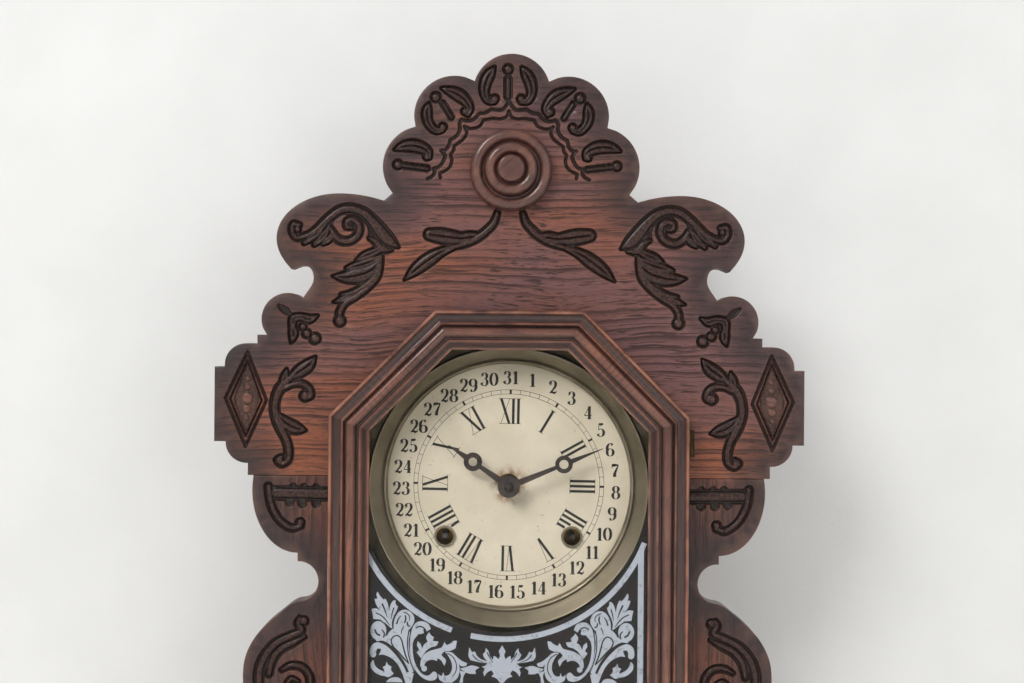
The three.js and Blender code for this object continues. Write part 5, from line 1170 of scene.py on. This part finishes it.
# ---- geometry nodes: bars or heads repeated round a ring or on given spots ----
def ringTree(name, headed):
    # the host mesh's points carry a bar, turned by the attribute "turn", or a low domed head
    tree = bpy.data.node_groups.new(name, "GeometryNodeTree")
    tree.interface.new_socket("Geometry", in_out="INPUT", socket_type="NodeSocketGeometry")
    sizes = ("Width", "Length", "Thickness")
    for label in sizes:
        tree.interface.new_socket(label, in_out="INPUT", socket_type="NodeSocketFloat")
    tree.interface.new_socket("Material", in_out="INPUT", socket_type="NodeSocketMaterial")
    tree.interface.new_socket("Geometry", in_out="OUTPUT", socket_type="NodeSocketGeometry")
    given = addNode(tree, "NodeGroupInput").outputs
    size = addNode(tree, "ShaderNodeCombineXYZ", {0: given["Width"], 1: given["Length"],
                                                  2: given["Thickness"]})
    if headed:
        ball = addNode(tree, "GeometryNodeMeshUVSphere", {"Segments": 14, "Rings": 7, "Radius": 0.5})
        item = addNode(tree, "GeometryNodeTransform",
                       {"Geometry": ball.outputs[0], "Scale": size.outputs[0]})
    else:
        item = addNode(tree, "GeometryNodeMeshCube", {"Size": size.outputs[0]})
    turn = addNode(tree, "GeometryNodeInputNamedAttribute", {"Name": "turn"}, data_type="FLOAT")
    spin = addNode(tree, "ShaderNodeCombineXYZ", {2: turn.outputs["Attribute"]})
    copies = addNode(tree, "GeometryNodeInstanceOnPoints", {
        "Points": given["Geometry"], "Instance": item.outputs[0], "Rotation": spin.outputs[0]})
    real = addNode(tree, "GeometryNodeRealizeInstances", {"Geometry": copies.outputs[0]})
    painted = addNode(tree, "GeometryNodeSetMaterial", {
        "Geometry": real.outputs[0], "Material": given["Material"]})
    addNode(tree, "NodeGroupOutput", {"Geometry": painted.outputs[0]})
    return tree


def repeated(name, tree, spots, turns, sizes, place, material, body):
    # spots are x, y in millimetres in the tree's own flat plane; place carries that plane onto the clock
    host = bpy.data.meshes.new(name + "_spots")
    host.from_pydata([(x * mm, y * mm, 0) for x, y in spots], [], [])
    host.attributes.new("turn", "FLOAT", "POINT").data.foreach_set("value", np.asarray(turns, np.float32))
    maker = bpy.data.objects.new(name + "_maker", host)
    bpy.context.scene.collection.objects.link(maker)
    modifier = maker.modifiers.new("repeat", "NODES")
    modifier.node_group = tree
    values = {**{label: size * mm for label, size in sizes.items()}, "Material": material}
    for item in tree.interface.items_tree:
        if item.in_out == "INPUT" and item.name in values:
            modifier[item.identifier] = values[item.name]
    graph = bpy.context.evaluated_depsgraph_get()
    mesh = bpy.data.meshes.new_from_object(maker.evaluated_get(graph))
    bpy.data.objects.remove(maker)
    mesh.transform(place)
    mesh.name = name
    finishPiece(name, mesh, None, body)


barTree = ringTree("bars on a ring", False)
headTree = ringTree("domed heads on spots", True)
ontoDial = Matrix.Translation(Vector((0, (inkFront + inkBack) / 2, dialHeight)) * mm) @ Matrix.Rotation(
    math.pi / 2, 4, "X")


def minuteRing(name, count, width, length):
    angles = [2 * math.pi * k / count + dialTurn for k in range(count)]
    spots = [(dialLook["track"] * math.sin(a), dialLook["track"] * math.cos(a)) for a in angles]
    sizes = {"Width": width, "Length": length, "Thickness": inkBack - inkFront}
    repeated(name, barTree, spots, [-a for a in angles], sizes, ontoDial, ink, "case")


minuteRing("dial_minute_marks", 60, dialLook["trackLine"], 2 * dialLook["trackHalf"])
minuteRing("dial_five_minute_marks", 12, dialLook["boldLine"], 2 * dialLook["trackHalf"] + 0.3)


def circleLine(radius, width, sides=180):
    points, faces = [], []
    for r, depth in ((radius - width / 2, inkFront), (radius + width / 2, inkFront),
                     (radius + width / 2, inkBack), (radius - width / 2, inkBack)):
        for k in range(sides):
            angle = 2 * math.pi * k / sides
            points.append((r * math.cos(angle), depth, dialHeight + r * math.sin(angle)))
    for a in range(4):
        b = (a + 1) % 4
        faces.extend((a * sides + k, a * sides + (k + 1) % sides, b * sides + (k + 1) % sides, b * sides + k)
                     for k in range(sides))
    return points, faces


trackParts = [circleLine(dialLook["track"] + side * dialLook["trackHalf"], dialLook["trackLine"])
              for side in (-1, 1)]
finishPiece("dial_minute_track", meshFrom("dial_minute_track", *gather(trackParts)), ink, "case")
print("dial printed")

# ---- hands ----
# rows are distance from the arbor and half width; the ring stands between the stem and the tapered tip
minuteBlade = {"node": "minute_hand", "angle": 67.5, "length": 62.2, "ring": 36.4, "outer": 5.4,
               "inner": 2.9,
               "hub": 6.7, "stem": (1.9, 1.2), "tip": 1.45}
hourBlade = {"node": "hour_hand", "angle": 303.8, "length": 44.8, "ring": 26.6, "outer": 5.7, "inner": 2.7,
             "hub": 6.7, "stem": (2.0, 1.3), "tip": 1.7}
handLook = {"steps": 24, "holeSides": 32, "softEdge": 0.18}


def handPiece(name, look, body):
    low, high = nodeBox(look["node"])
    front, back = low.y, high.y
    turn = math.radians(look["angle"])
    ring, outer = look["ring"], look["outer"]
    stemFoot, stemTop = look["stem"]
    steps, holeSides = handLook["steps"], handLook["holeSides"]

    def half(side):
        rows = []
        hubAngle = math.asin(stemFoot / look["hub"])
        for k in range(steps + 1):
            a = math.pi - (math.pi - hubAngle) * k / steps
            rows.append((look["hub"] * math.cos(a), look["hub"] * math.sin(a)))
        joinIn = math.asin(stemTop / outer)
        for k in range(steps + 1):
            a = math.pi - joinIn - (math.pi - joinIn - math.asin(look["tip"] / outer)) * k / steps
            rows.append((ring + outer * math.cos(a), outer * math.sin(a)))
        rows.append((look["length"], 0.15))
        return [(along, side * across) for along, across in rows]

    outline = half(1)[1:] + half(-1)[::-1][:-1]
    outline.append((-look["hub"], 0))
    turns = [2 * math.pi * k / holeSides for k in range(holeSides)]
    hole = [(ring + look["inner"] * math.cos(a), look["inner"] * math.sin(a)) for a in turns]
    spots = [Vector(p) for p in outline + hole]
    count = len(outline)
    edges = [(k, (k + 1) % count) for k in range(count)]
    edges += [(count + k, count + (k + 1) % holeSides) for k in range(holeSides)]
    flat, _, faces, _, _, _ = delaunay_2d_cdt(spots, edges, [], 1, 1e-6)
    flat = np.array([tuple(v) for v in flat])
    keep = [f for f in faces
            if np.linalg.norm(flat[list(f)].mean(0) - np.array([ring, 0])) > look["inner"] * 0.97]
    x = flat[:, 0] * math.sin(turn) + flat[:, 1] * math.cos(turn)
    z = dialHeight + flat[:, 0] * math.cos(turn) - flat[:, 1] * math.sin(turn)
    total = len(flat)
    points = np.vstack([np.column_stack([x, np.full(total, depth), z]) for depth in (front, back)])
    sides = [(a, b, total + b, total + a) for a, b in edges]
    both = [tuple(f) for f in keep] + [tuple(total + k for k in f) for f in keep]
    mesh = meshFrom(name, points, both + sides)
    piece = finishPiece(name, mesh, handSteel, body, [look["node"]], smooth=30)
    bevel = piece.modifiers.new("soft edge", "BEVEL")
    bevel.width = handLook["softEdge"] * mm
    bevel.segments = 2
    bevel.limit_method = "ANGLE"


handPiece("minute_hand_blade", minuteBlade, "minute")
handPiece("hour_hand_blade", hourBlade, "hour")

# ---- print on the door glass ----
glassBack = nodeBox("door_glass")[1].y
printLook = {
    "centre": -3.2, "arcHeight": 297.8, "arcRadius": 91.2, "band": 3.3, "blackInside": 2.4,
    "worn": (-108.1, -102.6), "sideLine": 83.2, "lineWidth": 3.5, "stagger": 0.0006,
    "ovals": [(-74.6, 211.2, 4.8, 5.7), (-46.8, 188.5, 1.7, 1.7)],
    "veins": (glassBack + 0.006, glassBack + 0.014), "silver": (glassBack + 0.02, glassBack + 0.05),
    "ground": (glassBack + 0.1, glassBack + 0.15),
}
glassLow, glassHigh = nodeBox("door_glass")

# x from the print's own middle line and z in millimetres, a third 1 where the outline turns sharply;
# the left half, closed outlines in silver
printShapes = [
    [(-66.8, 212.7, 1), (-71, 215.8), (-73.4, 217.9, 1), (-77.7, 218.2, 1), (-78.3, 221.8),
     (-78.9, 224.2, 1), (-75.9, 224.5), (-73.4, 223, 1), (-75.9, 226.6), (-77.1, 230.2, 1),
     (-75.2, 230.5, 1), (-75.9, 233.2), (-75.2, 234.7, 1), (-73.4, 231.7), (-71.6, 229.9, 1),
     (-70.4, 230.5, 1), (-69.2, 227.8), (-68.2, 223, 1), (-67.4, 226.6), (-65.6, 229.3),
     (-64.4, 229.6, 1), (-64.2, 227.2), (-62.9, 225.7, 1), (-63.8, 223), (-65.6, 219.4), (-66.5, 215.8),
     (-66.2, 212.7, 1)],
    [(-65.3, 212.1, 1), (-65.3, 215.8), (-64.1, 220), (-61.7, 223), (-58.4, 223.9), (-55.4, 222.7),
     (-53.3, 220), (-53, 217), (-54.2, 214.2), (-55.7, 212.1), (-56, 209.7, 1)],
    [(-75.9, 205.8), (-71, 207.3), (-66.2, 212.1), (-61.4, 213.9), (-56.6, 213.9), (-55.7, 210.3),
     (-56.3, 204.9), (-55.8, 198.9), (-54.5, 192.9), (-52.5, 187.2, 1), (-55.4, 185.1, 1), (-57.2, 189.3),
     (-59.6, 193.8), (-63.2, 198.6), (-67.4, 202.8), (-72.2, 205.2), (-75.9, 205.2)],
    [(-75.9, 204), (-78.6, 202.2), (-79.6, 198.9), (-79.2, 195.9), (-77.4, 195), (-75.9, 196.2),
     (-76, 198.6, 1), (-74.9, 200.4), (-72.8, 200.1, 1), (-73.4, 198), (-74.3, 196.5, 1),
     (-71.6, 196.8, 1), (-69.8, 196.2), (-66.2, 194.4), (-62.9, 191.1), (-60.2, 186), (-58.1, 180.2, 1),
     (-55.8, 180.2, 1), (-56.9, 184.4), (-59.3, 189.9), (-62.3, 194.4), (-66.5, 199.2), (-71, 202.8)],
    [(-77.4, 193.5, 1), (-78.9, 192), (-78.9, 189), (-76.8, 186.3), (-73.4, 184.4), (-70.4, 183.8, 1),
     (-71, 186.3), (-74, 187.8), (-76.2, 189.9)],
    [(-69.5, 192.6, 1), (-68.3, 190.5), (-66.5, 189.6, 1), (-66.8, 187.5), (-65, 185.4, 1),
     (-68.6, 183.2), (-71, 184.4), (-70.7, 187.2), (-71.9, 189.3, 1), (-70.4, 189.9)],
    [(-69.8, 180.2, 1), (-68, 182), (-64.4, 183.2), (-61.4, 182.6), (-59.6, 180.2, 1)],
    [(-43, 212.4, 1), (-44.5, 215.5), (-48.2, 217), (-51.5, 216.4), (-53.9, 213.3), (-55, 209.1),
     (-55.5, 203.1), (-55.2, 197.1), (-53.9, 191.4), (-51.2, 186.3), (-47.6, 182.9), (-43.3, 181.3),
     (-40, 182), (-38.8, 184.4), (-39.7, 186.4), (-41.5, 186.7), (-42.7, 185.4), (-44.5, 184.3),
     (-47.6, 185.1), (-50.6, 188.4), (-52.7, 192.9), (-53.7, 198.3), (-53.8, 203.1), (-52.8, 206.4),
     (-51.2, 208.2, 1), (-50.6, 209.3, 1), (-48.8, 209.3), (-47, 210, 1), (-47.6, 212.1), (-46.7, 213),
     (-45.5, 210.9, 1)],
    [(-48.8, 194.7, 1), (-50.3, 196.8), (-51.5, 198.3, 1), (-50, 199.8), (-51.3, 202.5),
     (-50.9, 204.9, 1), (-49.1, 203.4), (-48.2, 200.4, 1), (-46.7, 203.4), (-44.8, 204.6, 1),
     (-45.8, 207.3), (-44.1, 210.5, 1), (-42.7, 208.5), (-41.1, 207.5, 1), (-41.8, 205.2, 1),
     (-38.3, 204.9, 1), (-39.4, 202.5), (-42.7, 201.4), (-45.5, 199.5), (-47.6, 196.5)],
    [(-48.6, 189.3), (-49, 192.9), (-47.3, 196.5), (-43.9, 199), (-39.7, 200.3), (-36.7, 201.2),
     (-34.6, 204.6, 1), (-33.5, 202.7, 1), (-30.7, 204), (-29.4, 205.3, 1), (-27.2, 205.5, 1),
     (-28, 200.9, 1), (-31.3, 199.3), (-34.6, 198.9), (-36.4, 197.2), (-33.7, 193.5), (-34.7, 190.2, 1),
     (-37, 193.8), (-38.9, 194.9, 1), (-39.1, 193.1, 1), (-41.5, 193.9), (-44.2, 193.5), (-46.4, 191.7),
     (-47.1, 189.6)],
    [(-34.3, 198.8, 1), (-30.7, 198.5), (-27.7, 195.9), (-25.9, 191.7), (-25.6, 186.9), (-27.1, 182.6),
     (-30.1, 180.2, 1), (-34.9, 180.2, 1), (-37.6, 182), (-38.5, 185.4, 1), (-36.4, 184.1),
     (-35.3, 186.6, 1), (-34.6, 184.4), (-32.2, 184.7), (-30.4, 187.2), (-30.1, 191.1), (-31.6, 195)],
    [(-30.1, 198.5, 1), (-27.1, 195.6), (-24.4, 193.5), (-20.9, 191.9, 1), (-21.7, 190.3, 1),
     (-24.7, 190.2), (-26.2, 192.3)],
    [(-25.3, 188.7, 1), (-21.7, 189.6), (-18.4, 190.6), (-13.5, 189.5, 1), (-16, 187.8, 1),
     (-15.8, 185.5, 1), (-19.9, 185.7), (-23.2, 187.2)],
    [(-25.6, 187.5, 1), (-24.7, 184.4), (-25.6, 180.2, 1), (-23.5, 180.2, 1), (-23.2, 183.8),
     (-21.7, 186.6, 1)],
    [(0, 202.9, 1), (-2.1, 199.2, 1), (-1.3, 197.1), (-2.2, 194.4, 1), (-3.7, 195.9), (-5.1, 196.5, 1),
     (-5.4, 194.1, 1), (-7.3, 196.2), (-8.2, 199.2), (-9.8, 201.3, 1), (-10.1, 199.2), (-11.6, 197.4, 1),
     (-10.5, 195), (-8.7, 193.3, 1), (-12.6, 194.4), (-15, 196.5), (-16.4, 199.2, 1), (-17.6, 198.6),
     (-19.7, 201.7, 1), (-20, 199.5), (-20.3, 196.2, 1), (-19, 193.8, 1), (-15, 192.9), (-9, 192.1, 1),
     (-10.5, 190.3), (-12.2, 189.9, 1), (-10.4, 188.8), (-11.3, 186.6, 1), (-10.7, 184, 1), (-8.7, 186.6),
     (-6.3, 187.8, 1), (-4.9, 185.7, 1), (-6.4, 184.1, 1), (-3.3, 182.9), (-1.2, 180.5, 1), (0, 180.2, 1)],
]

# black lines drawn over the silver: x, z and width
printVeins = [
    [(-72.5, 227.5, 1.1), (-71, 224.2, 0.9), (-69.2, 219.1, 0.3)],
    [(-65.3, 225.1, 0.8), (-66.3, 221.8, 0.7), (-66.9, 218.2, 0.3)],
    [(-76.2, 221.8, 0.7), (-73.4, 220.6, 0.7), (-70.4, 217.9, 0.7), (-67.7, 214.2, 0.3)],
    [(-72.8, 216.7, 0.6), (-69.8, 214.8, 0.6), (-67.1, 212.4, 0.6)],
    [(-76.8, 212.1, 0.8), (-75.6, 209.4, 1.1), (-73.4, 208.2, 1)],
    [(-72.5, 211.8, 0.7), (-70.9, 209.4, 0.9), (-71.6, 207, 0.7)],
    [(-68.6, 210.6, 0.7), (-69.5, 208.2, 0.6)],
    [(-63.6, 215.1, 0.9), (-62.6, 218.2, 0.8), (-61.1, 220.3, 0.4)],
    [(-59.6, 222.4, 0.6), (-57.2, 221.5, 0.6), (-55.7, 219.4, 0.6), (-56, 217.3, 0.5)],
    [(-58.5, 220.6, 0.8), (-58.1, 218.2, 1), (-59, 215.8, 0.8)],
    [(-57.2, 216.7, 0.8), (-56.9, 214.5, 0.9), (-55.4, 213.9, 0.6)],
    [(-59.3, 213.9, 0.6), (-60.5, 211.5, 0.6), (-60.8, 209.4, 0.4)],
    [(-56, 191.4, 0.6), (-58.4, 193.8, 0.9), (-62.3, 198.3, 0.9), (-65.9, 202.2, 0.9),
     (-66.8, 205.5, 0.8), (-65, 207.9, 0.8), (-62.6, 208.2, 0.8), (-60.8, 206.1, 0.8),
     (-59.6, 201.9, 0.9), (-58.1, 196.5, 0.9), (-56, 191.4, 0.6)],
    [(-56, 212.1, 0.7), (-56.9, 206.1, 0.7), (-56.6, 198.9, 0.7), (-54.8, 191.7, 0.7), (-52.4, 185.7, 0.7)],
    [(-52.1, 212.7, 0.7), (-50, 213.9, 0.8), (-47.6, 213.3, 0.8), (-46.4, 211.8, 0.6)],
    [(-33.1, 198, 0.5), (-29.5, 195.6, 0.6), (-27.6, 191.7, 0.6), (-27.7, 187.2, 0.6), (-29.8, 183.5, 0.4)],
    [(-17.8, 197.1, 0.7), (-15.7, 194.7, 0.6), (-11.4, 192.7, 0.3)],
    [(-9, 198.6, 0.7), (-7.5, 195.6, 0.6), (-5.4, 192.6, 0.3)],
]

# the part of the print below, carried on in the same way: x, z and width
printStrokes = [
    [(-55, 186, 4), (-58, 174, 3.6), (-64, 165, 3.4), (-72, 160, 2.6), (-77, 164, 2)],
    [(-58, 172, 2), (-52, 165, 4), (-50, 156, 4), (-53, 146, 0.6)],
    [(-60, 169, 2), (-62, 160, 4), (-66, 151, 3.6), (-72, 144, 0.6)],
    [(-31, 179.4, 2), (-26, 172, 4), (-24, 162, 4), (-30, 153, 3.4), (-38, 155, 2.6), (-37, 161, 2)],
    [(-24, 166, 2), (-17, 160, 4.4), (-12, 151, 0.6)],
    [(0, 178, 2), (0, 168, 4.4), (0, 156, 0.6)],
    [(-46, 152, 2), (-50, 140, 4), (-60, 131, 4), (-70, 127, 3), (-74, 133, 2)],
    [(-44, 148, 2), (-36, 140, 4.4), (-34, 128, 4), (-42, 120, 3), (-48, 125, 2)],
    [(-32, 132, 2), (-22, 130, 4.4), (-12, 134, 3.6), (-4, 142, 0.6)],
    [(0, 128, 2), (0, 120, 4.6), (0, 110, 0.6)],
    [(-2, 126, 2), (-10, 118, 4.4), (-18, 112, 0.6)],
]


def closedOutline(points):
    first = next((k for k, point in enumerate(points) if len(point) > 2), 0)
    turned = points[first:] + points[:first]
    return cornered(turned + turned[:1])[:-1]


def groundPiece():
    look = printLook
    edge = 0.4
    left, right, foot = glassLow.x + edge, glassHigh.x - edge, glassLow.z + edge
    radius = look["arcRadius"] - look["band"] / 2 - look["blackInside"]
    centre = np.array([look["centre"], look["arcHeight"]])
    startAngle = -math.acos(min(1, (right - centre[0]) / radius))
    endAngle = -math.pi + math.acos(min(1, (centre[0] - left) / radius))
    arcPoints = [tuple(centre + radius * np.array([math.cos(a), math.sin(a)]))
                 for a in np.linspace(startAngle, endAngle, 90)]
    parts = [prism([(left, foot), (right, foot), *arcPoints], *look["ground"])]
    for side in (1, -1):
        for vein in printVeins:
            rows = smoothPath(vein, 0.9) * np.array([side, 1, 1]) + np.array([look["centre"], 0, 0])
            parts.append(ribbon(rows, *look["veins"]))
    mesh = meshFrom("glass_black_ground", *gather(parts))
    finishPiece("glass_black_ground", mesh, groundBlack, "door")


def printPiece():
    look = printLook
    parts = []
    front, back = look["silver"]

    def place(rows, side):
        moved = [(look["centre"] + side * row[0], *row[1:]) for row in rows]
        return moved if side > 0 else moved[::-1]

    def shown(x):
        return glassLow.x + 0.5 < x < glassHigh.x - 0.5

    for side in (1, -1):
        for points in printShapes:
            # each lies a hair deeper than the last, so none shares a face with another
            depth = len(parts) * look["stagger"]
            outline = place(closedOutline(points), side)
            if all(shown(x) for x, _ in outline):
                parts.append(prism(outline, front + depth, back + depth))
        for stroke in printStrokes:
            path = smoothPath(stroke, 0.9)
            if side < 0 and abs(path[:, 0]).max() < 0.1:
                continue
            depth = len(parts) * look["stagger"]
            parts.append(ribbon(place([tuple(row) for row in path], side), front + depth, back + depth))
        for x, z, wide, high in look["ovals"]:
            depth = len(parts) * look["stagger"]
            turns = np.linspace(0, 2 * math.pi, 33)[:-1]
            outline = [(x + wide * math.cos(a), z + high * math.sin(a)) for a in turns]
            parts.append(prism(place(outline, side), front + depth, back + depth))
    radius = look["arcRadius"]
    left, right = glassLow.x + 0.6, glassHigh.x - 0.6
    angles = np.radians(np.arange(-180, 0.1, 1.5))
    runs, run = [], []
    for a in angles:
        x = look["centre"] + radius * math.cos(a)
        z = look["arcHeight"] + radius * math.sin(a)
        inside = left < x < min(right, look["centre"] + look["sideLine"] + 2)
        if inside and not math.radians(look["worn"][0]) < a < math.radians(look["worn"][1]):
            run.append((x, z, look["band"]))
        elif len(run) > 1:
            runs.append(run)
            run = []
    runs.append(run)
    parts += [ribbon(row, front - 0.004, back) for row in runs if len(row) > 1]
    lineX = look["centre"] + look["sideLine"]
    top = look["arcHeight"] - math.sqrt(max(0, radius ** 2 - look["sideLine"] ** 2))
    line = [(lineX, glassLow.z + 1, look["lineWidth"]), (lineX, top, look["lineWidth"])]
    parts.append(ribbon(line, front - 0.002, back))
    mesh = meshFrom("glass_silver_print", *gather(parts))
    finishPiece("glass_silver_print", mesh, silverPaint, "door")


groundPiece()
printPiece()
print("glass printed")

# ---- small fixings ----
backFace = nodeBox("case_back")[1].y
backLow, backHigh = nodeBox("case_back")
nailLook = {"fromEdge": 5, "fromEnds": 18, "rows": 6, "fromSides": 45, "acrossTop": 3, "head": 3.2,
            "high": 0.9}
inset, fromEnds, fromSides = nailLook["fromEdge"], nailLook["fromEnds"], nailLook["fromSides"]
nailSpots = []
for height in np.linspace(backLow.z + fromEnds, backHigh.z - fromEnds, nailLook["rows"]):
    nailSpots += [(backLow.x + inset, height), (backHigh.x - inset, height)]
for across in np.linspace(backLow.x + fromSides, backHigh.x - fromSides, nailLook["acrossTop"]):
    nailSpots.append((across, backHigh.z - inset))
ontoBack = Matrix.Translation(Vector((0, backFace, 0)) * mm) @ Matrix.Rotation(math.pi / 2, 4, "X")
nailSizes = {"Width": nailLook["head"], "Length": nailLook["head"], "Thickness": nailLook["high"]}
repeated("back_nails", headTree, nailSpots, [0] * len(nailSpots), nailSizes, ontoBack, steel, "case")

# ---- finishes of the CAD nodes ----
nodeFinishes = {
    caseWood: ["case_side_left", "case_side_right"],
    caseWoodAcross: ["case_top", "case_bottom"],
    rawWood: ["case_back", "dial_strip_left", "dial_strip_right", "movement_block_left",
              "movement_block_right"],
    oldGlass: ["door_glass"],
    doorOakUpright: ["glazing_bead"],
    bezelBrass: ["grommet_left", "grommet_right"],
    darkBrass: ["hinge_lower_case_leaf", "hinge_upper_case_leaf", "hinge_lower_door_leaf",
                "hinge_upper_door_leaf",
                "latch_knob"],
    brightBrass: ["front_plate", "back_plate", "hour_wheel", "motion_wheel", "third_wheel", "centre_wheel",
                  "time_second_wheel", "time_great_wheel", "escape_wheel", "hammer_wheel",
                  "strike_second_wheel",
                  "strike_great_wheel", "fly", "pendulum_bob"],
    steel: ["suspension_cock", "time_mainspring", "strike_mainspring", "gong_coil", "gong_block",
            "pendulum_rod",
            "verge", "hammer", "time_winding_arbor", "strike_winding_arbor"],
    handSteel: ["minute_arbor"],
    tin: ["dial_pan"],
    paper: ["dial_paper"],
}
for material, names in nodeFinishes.items():
    for name in names:
        slots = nodes[name].data.materials
        slots.clear()
        slots.append(material)

# ---- stage: pale floor, painted wall, soft light ----
stageLook = {"wallGap": 0.012, "reach": 3, "floor": ("#e6e5e2", "#e1e0dc"), "wall": ("#efefee", "#eaeae9")}
wallY = cadHigh.y + stageLook["wallGap"]


def stageSheet(name, corners, colour, seenBehind):
    mesh = bpy.data.meshes.new(name)
    mesh.from_pydata(corners, [], [(0, 1, 2, 3)])
    sheet = bpy.data.objects.new(name, mesh)
    bpy.context.scene.collection.objects.link(sheet)
    material, tree, place = startMaterial(name + "Paint")
    clouds = patchNoise(tree, place, 90, 4)
    tone = blend(tree, clouds, colour[0], colour[1])
    relief = patchNoise(tree, place, 3, 4)
    bump = addNode(tree, "ShaderNodeBump", {"Strength": 0.12, "Distance": 0.0004, "Height": relief})
    shader = addNode(tree, "ShaderNodeBsdfPrincipled", {
        "Base Color": tone, "Roughness": 0.8, "Normal": bump.outputs[0]})
    surface = shader.outputs[0]
    if seenBehind:  # from behind, and for lamps, the wall isn't there
        clear = addNode(tree, "ShaderNodeBsdfTransparent")
        behind = addNode(tree, "ShaderNodeNewGeometry").outputs["Backfacing"]
        lamp = addNode(tree, "ShaderNodeLightPath").outputs["Is Shadow Ray"]
        either = addNode(tree, "ShaderNodeMath", {0: behind, 1: lamp}, operation="MAXIMUM").outputs[0]
        surface = addNode(tree, "ShaderNodeMixShader",
                          {0: either, 1: surface, 2: clear.outputs[0]}).outputs[0]
    addNode(tree, "ShaderNodeOutputMaterial", {"Surface": surface})
    mesh.materials.append(material)


far = stageLook["reach"]
stageSheet("floor", [(-far, -far, 0), (far, -far, 0), (far, far, 0), (-far, far, 0)], stageLook["floor"],
           False)
stageSheet("wall", [(-far, wallY, 0), (far, wallY, 0), (far, wallY, far), (-far, wallY, far)],
           stageLook["wall"], True)

world = bpy.data.worlds.new("paleRoom")
bpy.context.scene.world = world
world.use_nodes = True
world.node_tree.nodes.clear()
# gloss sees a dimmer room than the pale one that lights the clock, so the glass and varnish stay deep
roomLook = {"colour": "#f4f4f4", "strength": 0.6, "glossStrength": 0.25}
glossRay = addNode(world.node_tree, "ShaderNodeLightPath").outputs["Is Glossy Ray"]
roomLight = addNode(world.node_tree, "ShaderNodeMapRange", {
    0: glossRay, 3: roomLook["strength"], 4: roomLook["glossStrength"]}).outputs[0]
sky = addNode(world.node_tree, "ShaderNodeBackground", {"Color": roomLook["colour"], "Strength": roomLight})
addNode(world.node_tree, "ShaderNodeOutputWorld", {"Surface": sky.outputs[0]})

lamps = {
    "keyLamp": {"place": (-1.6, -2.2, 2.3), "size": 1.15, "power": 52},
    "fillLamp": {"place": (1.4, -1.7, 0.9), "size": 1.4, "power": 7},
    "backLamp": {"place": (0.6, 1.9, 1.5), "size": 1.4, "power": 22},
}
lampAim = Vector((0, 0, 0.33))
for name, look in lamps.items():
    light = bpy.data.lights.new(name, "AREA")
    light.energy = look["power"]
    light.size = look["size"]
    lamp = bpy.data.objects.new(name, light)
    lamp.location = look["place"]
    lamp.rotation_mode = "QUATERNION"
    lamp.rotation_quaternion = (lampAim - lamp.location).to_track_quat("-Z", "Y")
    bpy.context.scene.collection.objects.link(lamp)
print("stage and lamps set")
